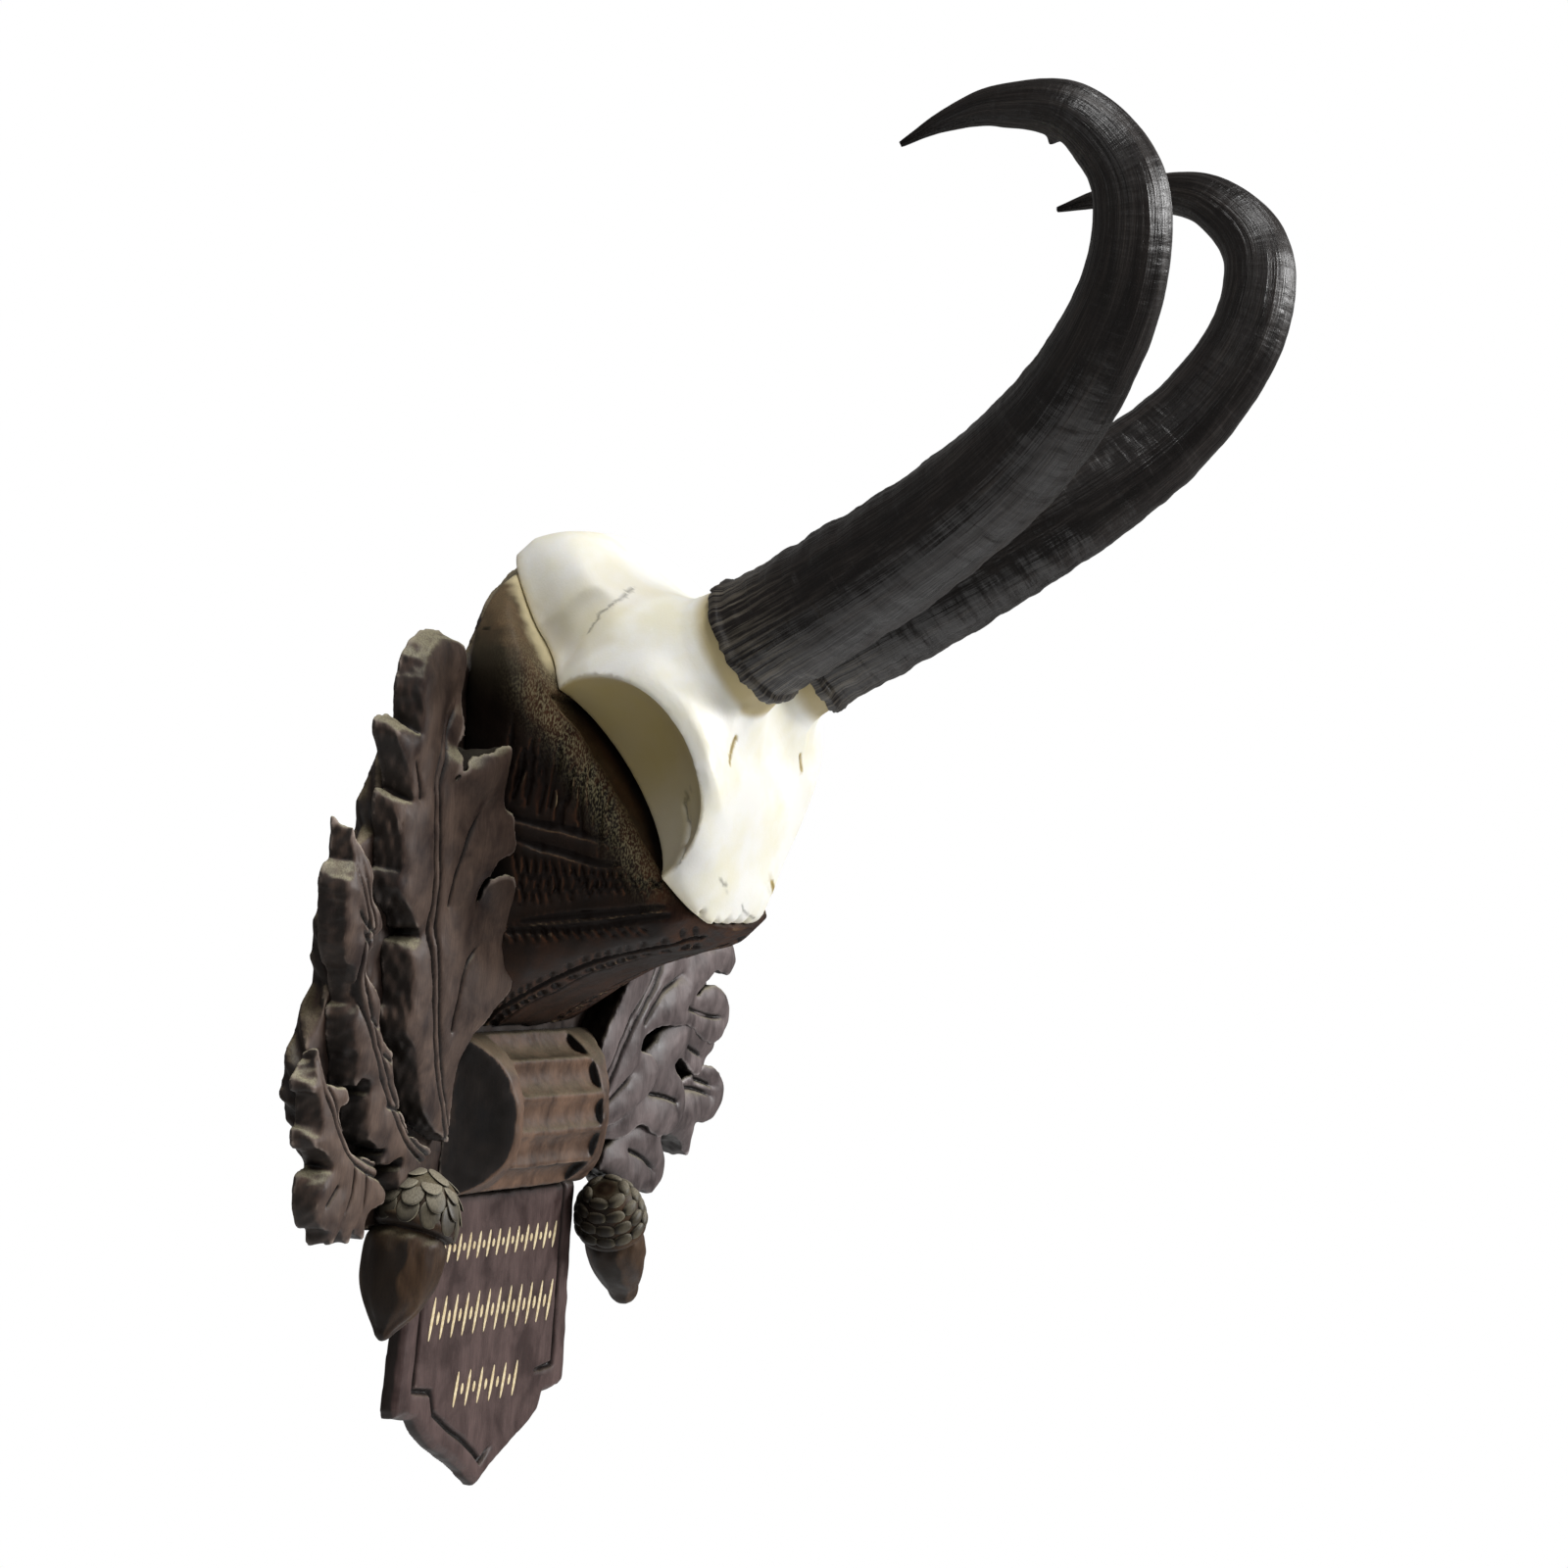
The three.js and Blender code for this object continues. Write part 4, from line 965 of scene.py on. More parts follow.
# The right-hand leaves lift higher and their lobes are broad and round.
TALL_RIGHT = {
    "swell": (1.9, 1.8),
    "rib": [
        (30.5, 10, -26), (34.7, 11.8, -15.8), (41, 13, -5), (49, 13.4, 3.4), (56, 12.6, 14), (60, 11.8, 26),
        (60.5, 11.4, 38), (58, 10.5, 49), (52.5, 9.6, 60), (50, 8.6, 68)],
    "outline": [
        (30, -30, 9.6), (37, -28.4, 12), (46.5, -24.8, 13.2), (53, -20.6, 14), (55.4, -16, 14.2),
        (51.5, -12.6, 14), (46.2, -11.4, 14), (48, -8.4, 14.4), (54, -6.4, 15), (62, -6.6, 15), (71, -7, 15),
        (80, -10.4, 14.6), (87, -10.6, 14.8), (91.4, -7.6, 15), (91.8, -3, 15.4), (87.6, 0.8, 15.5),
        (79, 2.6, 15.4), (72, 0.4, 15.2), (77, 3.4, 15.2), (82, 6, 15.2), (89, 4.8, 15), (92.4, 7.6, 15),
        (91, 11.6, 14.6), (84, 14.6, 13.6), (70, 13.5, 12.6), (63, 15, 12), (66, 18, 10), (73, 23, 8.4),
        (76, 31, 6.6), (77, 38, 7.4), (71, 39, 10), (72, 46, 9.8), (76, 54, 7.4), (69.3, 56.5, 9.8),
        (70, 62, 9), (68, 68, 8), (62, 73.3, 7.5), (55, 74.8, 7.5), (49.8, 72.5, 8), (50, 62, 9),
        (53.4, 52, 10.3), (56, 45.5, 11.5), (50, 52, 15.2), (43, 54.4, 16.8), (42, 41, 16.4),
        (43, 28.5, 15.2), (45.6, 20.5, 12.8), (41.5, 26, 16.6), (37.4, 23, 18), (36, 14, 17), (38, 5, 13.5),
        (34, -3, 12.2), (29.4, -10, 12), (27, -19, 11), (27.5, -27, 9.8)],
    "veins": [
        [(44, -16.4), (38, -21), (34, -24)], [(63.8, 5.4), (53, 0.8), (46.5, -5.6)],
        [(88, -4.8), (79, -4.4), (68, -2.5)], [(50.5, 38), (53.5, 24)]],
}
MIDDLE_RIGHT = {
    "swell": (1.9, 1.8),
    "ribbed": 0,
    "rib": [
        (40, 9, -31), (50, 11, -27), (60, 12.6, -19.6), (69, 13.2, -8), (77, 12, 2), (83, 10.4, 11),
        (90, 9.6, 27)],
    "outline": [
        (38, -32, 8.6), (47, -31.4, 11), (54, -28.6, 12.4), (59, -31, 13), (66, -31.4, 13.2),
        (71.6, -29.4, 13.4), (73.6, -24.6, 14), (70.6, -19.4, 14.2), (66, -15.6, 13.6), (71, -14.2, 13.2),
        (77, -17.4, 13.4), (82.6, -18.2, 13.4), (85.6, -14.4, 13.4), (88.6, -12, 13.2), (88.6, -7, 12.4),
        (86, 0, 10.8), (88, 5, 9), (93.6, 9, 7), (95.5, 14.5, 6), (91, 18.4, 9), (96.6, 20, 6.4),
        (97.6, 27, 6), (95, 35, 7.4), (91.4, 35.4, 8.4), (90, 27, 9.8), (81, 17, 10.6), (80, 8, 10.8),
        (70, 0, 11.8), (60, -8, 12), (50, -16, 11), (41, -26, 9.4)],
    "veins": [
        [(55, -21.6), (62, -22.4), (67.6, -23.6)], [(82, -14), (74, -11.5)], [(93, 22), (88, 12)]],
}
LOW_RIGHT = {
    "swell": (1.9, 1.8),
    "ribbed": 0,
    "rib": [
        (42, 8.6, -36.5), (54, 10.8, -35), (66, 12.2, -30), (78, 13, -25), (89, 13.8, -23)],
    "outline": [
        (41, -38.6, 8.4), (49, -41.4, 9.6), (54, -45, 10), (57.6, -48.4, 9.8), (59.4, -44, 10.8),
        (65, -44.8, 11.2), (68.8, -41.4, 12), (69.2, -36.6, 12), (65.6, -32, 12), (70, -31.4, 11.6),
        (77, -33.4, 11.5), (83.4, -37.2, 11.2), (83, -31.4, 12.2), (82.6, -29.6, 13), (89.6, -29, 13.6),
        (94.6, -25, 14), (94, -20.6, 14.4), (90.6, -17.4, 14.4), (84, -16, 14), (77, -18.4, 13.2),
        (66, -23, 12), (54, -29, 10.6), (43, -33.6, 8.8)],
    "veins": [
        [(64, -39.6), (58, -36.4), (52, -34.4)], [(88, -23), (79, -21.2), (71, -21)],
        [(88, -20.8), (80, -19)]],
}
LEAVES = [
    ("leaf_left_tall", -1, TALL_LEFT), ("leaf_left_middle", -1, MIDDLE_LEFT), ("leaf_left_low", -1, LOW_LEFT),
    ("leaf_right_tall", 1, TALL_RIGHT), ("leaf_right_middle", 1, MIDDLE_RIGHT),
    ("leaf_right_low", 1, LOW_RIGHT)]


def bent_sheet(known, values, x, z, stiffness=0.6):
    """The smoothest sheet through the known depths (a thin-plate spline), read at every x and z."""
    def bend(gap_squared):
        return 0.5 * gap_squared * np.log(np.maximum(gap_squared, 1e-6))

    known = np.asarray(known, float) / 10
    gaps = ((known[:, None] - known[None]) ** 2).sum(-1)
    flat = np.column_stack([np.ones(len(known)), known])
    bent = bend(gaps) + stiffness * 0.05 * np.eye(len(known))
    matrix = np.block([[bent, flat], [flat.T, np.zeros((3, 3))]])
    weights = np.linalg.solve(matrix, np.concatenate([values, np.zeros(3)]))
    x, z = x / 10, z / 10
    total = weights[-3] + weights[-2] * x + weights[-1] * z
    for (a, b), weight in zip(known, weights):
        total = total + weight * bend((x - a) ** 2 + (z - b) ** 2)
    return total


def path_distance(path, x, z):
    """Distance in the plane to an open path, and the share of its length at the nearest place."""
    path = np.asarray(path, float)
    nearest = np.full(np.broadcast(x, z).shape, FAR)
    place = np.zeros(nearest.shape)
    for k, ((ax, az), (bx, bz)) in enumerate(zip(path[:-1], path[1:])):
        dx, dz = bx - ax, bz - az
        share = np.clip(((x - ax) * dx + (z - az) * dz) / max(dx * dx + dz * dz, 1e-9), 0, 1)
        gap = np.hypot(x - ax - dx * share, z - az - dz * share)
        closer = gap < nearest
        nearest = np.where(closer, gap, nearest)
        place = np.where(closer, (k + share) / (len(path) - 1), place)
    return nearest, place


def closed_spline(points, each=6):
    """A smooth closed curve through the points, with the curve leaving no point by much."""
    points = np.asarray(points, float)
    # The curve runs on over its first stretch.
    ring = np.vstack([points[-1:], points, points[:3]])
    curve = []
    for four in zip(ring[:-3], ring[1:-2], ring[2:-1], ring[3:]):
        steps = [max(np.linalg.norm(q - p) ** 0.5, 1e-3) for p, q in zip(four[:-1], four[1:])]
        knots = np.concatenate([[0], np.cumsum(steps)])
        t = np.linspace(knots[1], knots[2], each, endpoint=False)[:, None]
        # Neighbours are mixed three times over, each time between knots that lie nearer.
        for spans in (((0, 1), (1, 2), (2, 3)), ((0, 2), (1, 3)), ((1, 2),)):
            four = [((knots[j] - t) * p + (t - knots[i]) * q) / (knots[j] - knots[i])
                    for (i, j), p, q in zip(spans, four[:-1], four[1:])]
        curve.append(four[0])
    return np.vstack(curve)


def leaf(node, side, plan, wood, seed):
    rib = spline(plan["rib"], 60)
    rib_plan = rib[:, [0, 2]]
    edge = np.array(plan["outline"], float)
    low = np.minimum(edge[:, :2].min(0), rib_plan.min(0)) - 2
    high = np.maximum(edge[:, :2].max(0), rib_plan.max(0)) + 2
    block = Block((low[0], -21, low[1]), (high[0] + 3, -LEAF_FOOT + 1.5, high[1] + 2), LEAF_STEP)
    x = block.axes[0][:, None]
    z = block.axes[2][None, :]
    outline = flat_distance(closed_spline(edge[:, :2]), x, z)
    known = np.vstack([edge[:, :2], rib_plan[::6]])
    depth = bent_sheet(known, np.concatenate([edge[:, 2], rib[::6, 1]]), x, z)
    rib_gap, along = path_distance(rib_plan, x, z)
    ribbed = plan.get("ribbed", 1)
    fade = ease(1.0, 0.8, along) * ribbed
    nearest = rib_gap + 20 * (1 - ribbed)
    cuts = np.exp(-((rib_gap - MIDRIB_HALF) / RIB_CUT) ** 2) * fade
    for path in plan["veins"]:
        gap, place = path_distance(spline(path, 12), x, z)
        nearest = np.minimum(nearest, gap)
        cuts = np.maximum(cuts, np.exp(-(gap / VEIN_CUT) ** 2) * ease(0.0, 0.25, place))
    # Between the veins the blade swells, and it thins a little towards its edge.
    swell, fall = plan.get("swell", (1.2, 0.7))
    depth = depth + swell * (1 - np.exp(-nearest / BLADE_REACH))
    depth = depth - fall * np.exp(np.minimum(outline, 0) / (1 + fall))
    depth = depth + 0.35 * np.exp(-(rib_gap / 0.8) ** 2) * fade - VEIN_DEPTH * cuts
    depth = np.clip(depth + 0.1 * waves((x, z), 7, seed), LEAF_FOOT + 0.9, 20)[:, None, :]
    front = -block.axes[1][None, :, None]
    past_rib = (x - np.interp(z, rib[:, 2], rib[:, 0]))[:, None, :]
    # The walls flare towards the board on the outer and upper sides, and are undercut beside the seat.
    outline = outline[:, None, :]
    slopes = np.gradient(box_blur(box_blur(outline, 0, 2), 2, 2)[:, 0, :], block.step)
    outside = ease(-1, 3, past_rib)
    *outwards, under = plan.get("flare", (0.0, 0.0, 0.0))
    flare = sum((share * outside - under * (1 - outside)) * np.clip(slope, 0, 1)[:, None, :]
                for share, slope in zip(outwards, slopes)) - 0.08
    wall = outline - flare * np.clip(depth - front, 0, 7)
    wall = wall + 0.22 * waves((x[:, None], front, z[:, None]), 4, seed + 1)
    top = (front - depth) * 0.88
    block.field = np.maximum(smooth_max(wall, top, 0.35), LEAF_FOOT - front).astype(np.float32)
    # The walls that face the seat get the painted shade of the cuts.
    below = ease(0.5, 1.2, depth - front) * ease(1, -2, past_rib)
    cut_grid = np.maximum(np.broadcast_to(cuts[:, None, :], block.field.shape), below)
    if side < 0:
        block.flip()
        cut_grid = cut_grid[::-1]
    piece = block.skin(node + "_carving", None, lambda where: {"cut": block.sample(cut_grid, where)}, 0.008)
    finish_piece(piece, wood, "leaf_wood", node)


def leaves(left_wood, lit_right_wood):
    for number, (node, side, plan) in enumerate(LEAVES):
        leaf(node, side, plan, left_wood if side < 0 else lit_right_wood, seed=20 + 3 * number)


# Board and name plate, both flat outlines with a worked face

BOARD_HALF = [
    (0, 92), (10, 91.6), (16, 89.5), (22, 86), (26, 83), (29.5, 79.5), (33, 73.5), (37, 67), (41, 70),
    (45, 73.5), (50, 73.5), (54, 70), (59, 63), (66, 54), (72, 48), (76, 41), (77, 35), (83, 31), (89, 21),
    (91, 13), (89, 4), (94, -3), (98, -12), (98, -19), (91, -27), (84, -35), (78, -42), (70, -46), (58, -47),
    (50, -42), (42, -40.5), (0, -40.5)]
PLATE_HALF = [
    (0, -40.65), (39, -40.65), (40, -60), (42, -85), (41, -87), (31.5, -88), (28, -92), (22, -95.2),
    (13.5, -98.6), (6, -102), (0, -105.5)]
FIELD_HALF = [
    (0, -36), (32.5, -36), (33.3, -60), (34.2, -81.6), (25.5, -82.6), (23.6, -87.2), (17.5, -91), (9, -94.6),
    (3.5, -97.4), (0, -99.8)]
TIP_FROM, TIP_SHIFT = -88, 1.5
PLATE_BACK, PLATE_FRONT = 0.7, 4.4


def mirrored(half):
    return list(half) + [(-x, z) for x, z in reversed(half) if x > 0]


def plate_outline(half):
    return [(x + (TIP_SHIFT if z < TIP_FROM else 0), z) for x, z in mirrored(half)]


def flat_distance(outline, x, z):
    """Signed distance in the plane to a closed outline, negative inside."""
    corners = np.vstack([outline, outline[:1]])
    nearest, _ = path_distance(corners, x, z)
    inside = np.zeros(nearest.shape, bool)
    for (ax, az), (bx, bz) in zip(corners, corners[1:]):
        if az != bz:
            inside ^= ((az > z) != (bz > z)) & (x < ax + (bx - ax) * (z - az) / (bz - az))
    return np.where(inside, -nearest, nearest)


def board(wood):
    block = Block((-101, -BOARD_THICK - 2, -50), (101, 2.5, 96), 0.7)
    x, y, z = np.ix_(*block.axes)
    edge = flat_distance(mirrored(BOARD_HALF), block.axes[0][:, None], block.axes[2][None, :])[:, None, :]
    # Slanting gouge cuts along the sides
    by_side = ease(-6, 0, edge) * ease(42, 50, np.abs(x) + np.maximum(z + 30, 0))
    slant = (z * 0.9 + np.abs(x) * 0.5 - y * 1.4) / 1.1
    edge = edge + 0.8 * by_side * (1 + np.sin(slant + waves((x, z), 20, 3)))
    face = -y - BOARD_THICK + 0.25 * waves((x, z), 7, 61)
    solid = smooth_max(edge, face, 1.2)
    slope = ((y - SLOPE_TOP[1]) * OUT[1] + (z - SLOPE_TOP[2]) * OUT[2]) + 0.3
    solid = np.maximum(np.maximum(solid, y), slope)
    block.field = solid.astype(np.float32)
    piece = block.skin("board_carving", simplify=0.02)
    finish_piece(piece, wood, "board_wood", "board")


def name_plate(wood):
    block = Block((-45, -PLATE_FRONT - 1.5, -108), (45, 0.5, -38), 0.42)
    x, y, z = np.ix_(*block.axes)
    flat_x, flat_z = block.axes[0][:, None], block.axes[2][None, :]
    edge = flat_distance(plate_outline(PLATE_HALF), flat_x, flat_z)[:, None, :]
    line = flat_distance(plate_outline(FIELD_HALF), flat_x, flat_z)[:, None, :]
    front = -y
    cut = np.exp(-(line / 0.62) ** 2) * (1 - ease(2, 8, x) * ease(-82.0, -82.8, z))
    face = front - PLATE_FRONT + 1.5 * cut
    bevel = (edge + front - PLATE_FRONT + 1.5) * 0.7
    face = face + 0.06 * waves((x, z), 8, 71)
    solid = smooth_max(smooth_max(edge, bevel, 0.6) + 0.12 * waves((x, y, z), 6, 72), face, 0.5)
    block.field = np.maximum(solid, PLATE_BACK - front).astype(np.float32)
    # The incised line gets the painted shade of the cuts.
    cut_grid = np.broadcast_to(cut, block.field.shape)
    piece = block.skin("name_plate_carving", None, lambda where: {"cut": block.sample(cut_grid, where)}, 0.01)
    finish_piece(piece, wood, "plate_wood", "name_plate")


# Fluted scroll

SCROLL_HALF = 23.5
SCROLL_LEAN = 0.85              # each end face leans out towards the board
SCROLL_DEPTH = 17.2
SCROLL_BACK = 4.9
SCROLL_RIDGES = [(6.5, -7.4), (13.5, -12.5), (16.8, -20), (17.2, -27.5), (15.2, -34.5), (9, -40)]


def scroll(wood):
    block = Block((-38, -20, -43), (38, -3, -4), 0.4)
    x, y, z = np.ix_(*block.axes)
    outline = list(map(tuple, spline([(3, -8.2)] + SCROLL_RIDGES + [(3, -39.6)], 60)))
    front = -y
    section = flat_distance(outline, -block.axes[1][:, None], block.axes[2][None, :])[None]
    flutes = np.full(section.shape, FAR)
    for (d0, z0), (d1, z1) in zip(SCROLL_RIDGES[:-1], SCROLL_RIDGES[1:]):
        middle = np.array([(d0 + d1) / 2, (z0 + z1) / 2])
        way = np.array([d1 - d0, z1 - z0])
        half = np.linalg.norm(way) / 2
        out = np.array([-way[1], way[0]]) / (2 * half)
        out *= np.sign(out @ (middle - (4, -24)))
        centre = middle + out * half * 0.8
        flutes = np.minimum(flutes, np.hypot(front - centre[0], z - centre[1]) - half * 1.14)
    # The flutes stop short of both ends, and leave a raised band there.
    stop = smooth_max(flutes, np.abs(x) - SCROLL_HALF + 3.6, 0.6)
    solid = smooth_max(section - 0.2, -stop, 0.7)
    ends = np.abs(x) - SCROLL_HALF - SCROLL_LEAN * (SCROLL_DEPTH - front)
    hollow_end = 0.7 * ease(-1.0, -5, section)
    solid = smooth_max(solid, ends * 0.75 + hollow_end, 0.6)
    solid = solid + 0.1 * waves((x, y, z), 5, 81)
    block.field = np.maximum(solid, SCROLL_BACK - front).astype(np.float32)
    piece = block.skin("scroll_carving", simplify=0.01)
    finish_piece(piece, wood, "board_wood", "scroll")


# Acorns

# Each acorn: middle of its top, its tip, girth, width of the nut against that, radius of the nut's blunt
# end, and the shape of a scale
ACORNS = {
    "left": ((-50, -10.5, -34.5), (-61, -9, -68), 1.0, 1.0, 1.2, (0.13, 0.86, 1.15)),
    "right": ((37.5, -11.8, -42), (60.5, -9, -68.6), 0.82, 0.95, 3.2, (0.42, 1.05, 0.62)),
}
# Radius in millimetres, and the share of the length below the top
ACORN_PROFILE = [
    (0, 0), (3.8, 0.01), (6.8, 0.07), (8.5, 0.17), (9.1, 0.27), (9.5, 0.31), (9.3, 0.345), (8.5, 0.362),
    (7.3, 0.372), (8.3, 0.44), (8.3, 0.56), (7.4, 0.69), (5.4, 0.82), (2.9, 0.92), (1.2, 0.98), (0, 1)]
# Rows of scales: place along the acorn, radius in millimetres, number of scales, lean in radians
CUP_ROWS = [(0.03, 4.9, 6, 1.02), (0.1, 7.2, 9, 0.74), (0.18, 8.55, 11, 0.4), (0.27, 9.05, 12, 0.1)]


def scale_tree():
    """Rows of overlapping scales round an upright axis, for an acorn's cup. Lengths are metres."""
    tree, sockets, put, given = new_tree("acorn cup scales", {
        "Length": "Float", "Girth": "Float", "Scale Width": "Float", "Scale Shape": "Vector", "Seed": "Int"})
    # One scale is a flat pointed disc with a worn rim. It is two units wide before it is scaled.
    ball = put("MeshUVSphere", {"Segments": 20, "Rings": 10, "Radius": 1.0})
    rim = put("Math", [put("SeparateXYZ", [put("InputPosition")])], operation="ABSOLUTE")
    rim = put("MapRange", [rim, 0.45, 0.1, 0.5, 0.3])
    ball = put("StoreNamedAttribute", {"Geometry": ball, "Name": "hollow", "Value": rim})
    flat = put("Transform", {"Geometry": ball, "Scale": given["Scale Shape"]})
    joined = put("JoinGeometry")
    for number, (share, radius, count, lean) in enumerate(CUP_ROWS):
        ring_radius = put("Math", [given["Girth"], radius * MM], operation="MULTIPLY")
        ring = put("MeshCircle", {"Vertices": count, "Radius": ring_radius})
        drop = put("Math", [given["Length"], -share], operation="MULTIPLY")
        ring = put("Transform", {
            "Geometry": ring, "Translation": put("CombineXYZ", [0.0, 0.0, drop]),
            "Rotation": (0, 0, number * math.pi / count)})
        level = put("VectorMath", [put("InputPosition"), (1, 1, 0)], operation="MULTIPLY")
        turn = put("AlignRotationToVector", {"Vector": level}, axis="X")
        wobble = put("RandomValue", {
            0: (-0.1, -lean - 0.1, -0.08), 1: (0.1, -lean, 0.08), "Seed": given["Seed"]},
            data_type="FLOAT_VECTOR")
        tilt = put("RotateRotation", [turn, wobble], rotation_space="LOCAL")
        connect(joined, [put("InstanceOnPoints", {
            "Points": ring, "Instance": flat, "Rotation": tilt, "Scale": given["Scale Width"]})])
    close_tree(put, given, joined)
    return tree, sockets


def acorn(name, nut_wood, cup_wood, tree, sockets):
    top, tip, girth, nut_share, blunt, scale_shape = ACORNS[name]
    top, tip = np.array(top, float), np.array(tip, float)
    length = np.linalg.norm(tip - top)
    turn = Vector((0, 0, -1)).rotation_difference(Vector((tip - top) / length)).to_matrix()
    block = Block((-12, -12, -length - 3), (12, 12, 3), 0.4)
    x, y, z = np.ix_(*block.axes)
    radius = np.hypot(x, y)
    profile = spline(ACORN_PROFILE, 120)
    drop = np.clip(-z / length, 0, 1)
    limit = np.interp(drop, profile[:, 1], profile[:, 0] * girth)
    limit = limit * (1 + (nut_share - 1) * ease(0.35, 0.38, drop))
    angle = np.arctan2(y, x)
    facets = 0.18 * np.sin(angle * 9 + 2 * waves((x, y, z), 14, 91)) * ease(0.36, 0.42, drop)
    body = (radius - limit - facets) * 0.8
    body = smooth_max(body, np.abs(z + length / 2) - length / 2, 0.8)
    body = smooth_min(body, np.sqrt(x * x + y * y + (z + length - blunt) ** 2) - blunt, 1.5)
    block.field = body.astype(np.float32)

    def place(where):
        return top + where @ np.array(turn).T

    piece = block.skin(f"acorn_{name}_nut", place, simplify=0.008)
    finish_piece(piece, nut_wood, "acorn_wood", f"acorn_{name}")
    cup = grow(f"acorn_{name}_cup_scales", tree, sockets, {
        "Length": length * MM, "Girth": girth, "Scale Width": 2.7 * MM * girth, "Scale Shape": scale_shape,
        "Seed": 5, "Material": cup_wood})
    cup.data.transform(Matrix.Translation(Vector(top * MM)) @ turn.to_4x4())
    finish_piece(cup, cup_wood, "acorn_wood", f"acorn_{name}")


# Painted ornament in place of lettering: rows of brush strokes on the plate

# Middle height of each row, its half length, the height of a stroke, and the number of strokes.
ORNAMENT_ROWS = [(-52.5, 28.5, 6.0, 25), (-67.0, 29.0, 9.5, 23), (-83.0, 14.5, 8.0, 11)]


def ornament_tree():
    """A row of leaning leaf-shaped brush strokes, by turns long and short. Lengths are metres."""
    tree, sockets, put, given = new_tree("painted border", {
        "Count": "Int", "Half Length": "Float", "Stroke Height": "Float"})
    ball = put("MeshUVSphere", {"Segments": 12, "Rings": 8, "Radius": 0.5})
    left = put("Math", [given["Half Length"], -1.0], operation="MULTIPLY")
    line = put("MeshLine", {
        "Count": given["Count"], "Start Location": put("CombineXYZ", [left]),
        "Offset": put("CombineXYZ", [given["Half Length"]])}, mode="END_POINTS")
    odd = put("Math", [put("InputIndex"), 2.0], operation="MODULO")
    shrink = put("CombineXYZ", [1.0, 1.0, put("MapRange", [odd, 0.0, 1.0, 1.0, 0.3])])
    tall = put("CombineXYZ", [1.3 * MM, 0.3 * MM, given["Stroke Height"]])
    size = put("VectorMath", [tall, shrink], operation="MULTIPLY")
    strokes = put("InstanceOnPoints", {
        "Points": line, "Instance": ball, "Rotation": put("CombineXYZ", [0.0, 0.2]), "Scale": size})
    close_tree(put, given, strokes)
    return tree, sockets


def ornament(paint):
    tree, sockets = ornament_tree()
    for number, (height, half, tall, count) in enumerate(ORNAMENT_ROWS):
        row = grow(f"painted_row_{number + 1}", tree, sockets, {
            "Count": count, "Half Length": half * MM, "Stroke Height": tall * MM, "Material": paint})
        row.data.transform(Matrix.Translation((0.5 * MM, -(PLATE_FRONT + 0.02) * MM, height * MM)))
        finish_piece(row, paint, "plate_wood")


# Camera, light and stage

# The camera was worked out from mirrored points on the skull and the board, with the photograph's own size.
CAMERA_PLACE = Vector((-0.948, -0.446, 0.060))
CAMERA_RIGHT = Vector((0.37579, -0.92232, 0.09010))
CAMERA_UP = Vector((-0.02536, 0.08695, 0.99589))
FOCAL_PIXELS, PHOTO_PIXELS = 5000, 1600


def camera():
    data = bpy.data.cameras.new("camera")
    data.sensor_width = 36.0
    data.sensor_fit = "HORIZONTAL"
    data.lens = data.sensor_width * FOCAL_PIXELS / PHOTO_PIXELS
    data.clip_start = 0.01
    eye = link("camera", data)
    turn = Matrix((CAMERA_RIGHT, CAMERA_UP, CAMERA_RIGHT.cross(CAMERA_UP))).transposed().to_4x4()
    eye.matrix_world = Matrix.Translation(CAMERA_PLACE) @ turn
    bpy.context.scene.camera = eye


# Each light: place, size and power. All of them face the middle of the mount.
LIGHT_TARGET = Vector((0, -0.05, 0.05))
LIGHTS = {
    "front key": ((0.85, -1.35, 0.6), 0.5, 29.5),
    "top light": ((-0.25, -0.55, 1.5), 0.6, 18),
    "left fill": ((-1.3, -0.3, 0.7), 1.0, 3.5),
}


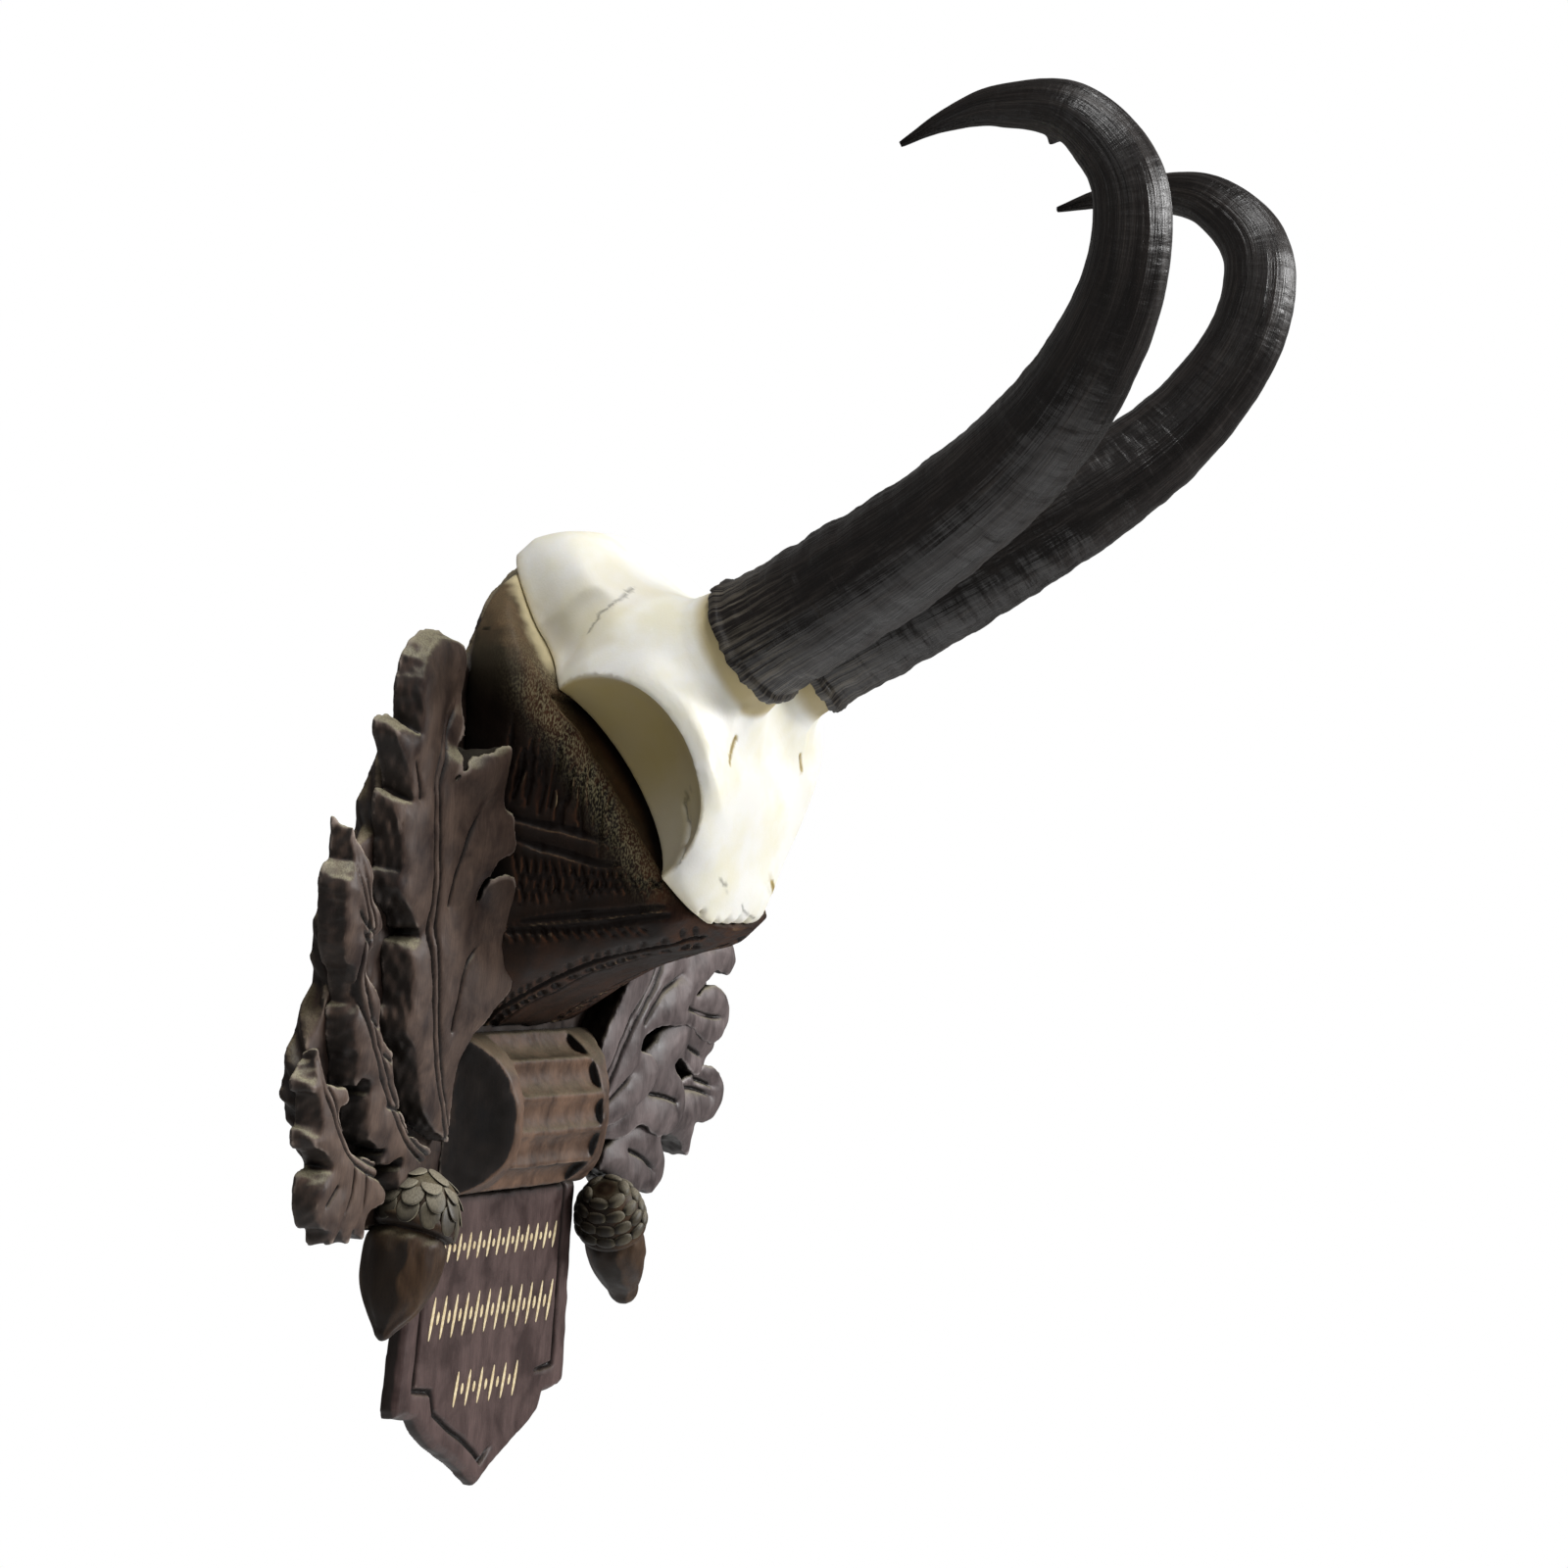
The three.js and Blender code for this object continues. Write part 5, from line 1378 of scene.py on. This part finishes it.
def studio():
    scene = bpy.context.scene
    scene.world = bpy.data.worlds.new("studio")
    scene.world.use_nodes = True
    put = partial(add, scene.world.node_tree)
    scene.world.node_tree.nodes.clear()
    seen = put("Background", {"Color": (1, 1, 1, 1), "Strength": 1.0})
    light = put("Background", {"Color": (1, 0.985, 0.96, 1), "Strength": 0.22})
    mix = put("MixShader", [put("LightPath").outputs["Is Camera Ray"], light, seen])
    put("OutputWorld", {"Surface": mix})
    for name, (place, size, watts) in LIGHTS.items():
        data = bpy.data.lights.new(name, "AREA")
        data.size = size
        data.energy = watts
        lamp = link(name, data)
        lamp.location = place
        lamp.rotation_euler = (LIGHT_TARGET - Vector(place)).to_track_quat("-Z", "Y").to_euler()
    scene.view_settings.view_transform = "Standard"
    scene.view_settings.look = "None"


def stage():
    """A wide pale floor, well below the mount."""
    material, shader, _ = new_material("pale studio floor")
    connect(shader, {"Base Color": (0.9, 0.9, 0.9, 1), "Roughness": 0.9})
    half, level = 0.4, -0.28
    corners = [(-half, -half, level), (half, -half, level), (half, half, level), (-half, half, level)]
    floor = new_piece("floor", corners, [(0, 1, 2, 3)])
    floor.data.materials.append(material)


def build():
    bone = bleached_bone()
    horn_stuff = grown_horn()
    leaf_wood = carved_wood(
        "stained carved limewood, leaves", "#2e2320", "#59483e", "#93847a", "#928d74", 0.8)
    # The right leaves get a paler, greyer, glossier copy of the leaves' wood: painted light, as they catch
    # more of the lamps.
    lit_right_leaf_wood = carved_wood(
        "stained carved limewood, right leaves, painted lighter", "#383030", "#6b605f", "#aca3a2", "#928d74", 0.6, gloss=0.36)
    seat_wood = carved_wood(
        "stained carved limewood, seat", "#22130d", "#452c1d", "#85745a", "#7c6b4c", 0.3, shine=0.1)
    board_wood = carved_wood("stained carved limewood, board", "#231814", "#43332a", "#857669", "#8a8163")
    scroll_wood = carved_wood(
        "stained carved limewood, scroll", "#3a291f", "#6c5342", "#998b7d", left_face_shade="#101214")
    plate_wood = carved_wood("stained sawn limewood, plate", "#352624", "#564441", "#80706a", dust_share=0.2)
    nut_wood = carved_wood("stained carved limewood, nuts", "#2c1e15", "#4c3928", "#847b6c", shine=0.16)
    cup_wood = carved_wood("stained carved limewood, cups", "#352f25", "#5a5343", "#a8a28a", "#a39b88", 0.7)
    skull_cap(bone)
    tree, sockets = horn_tree()
    for side, name in ((-1, "left"), (1, "right")):
        horn(side, name, tree, sockets, horn_stuff)
    skull_seat(seat_wood)
    leaves(leaf_wood, lit_right_leaf_wood)
    board(board_wood)
    name_plate(plate_wood)
    scroll(scroll_wood)
    tree, sockets = scale_tree()
    for name in ACORNS:
        acorn(name, nut_wood, cup_wood, tree, sockets)
    ornament(cream_paint())


camera()
studio()
stage()
build()
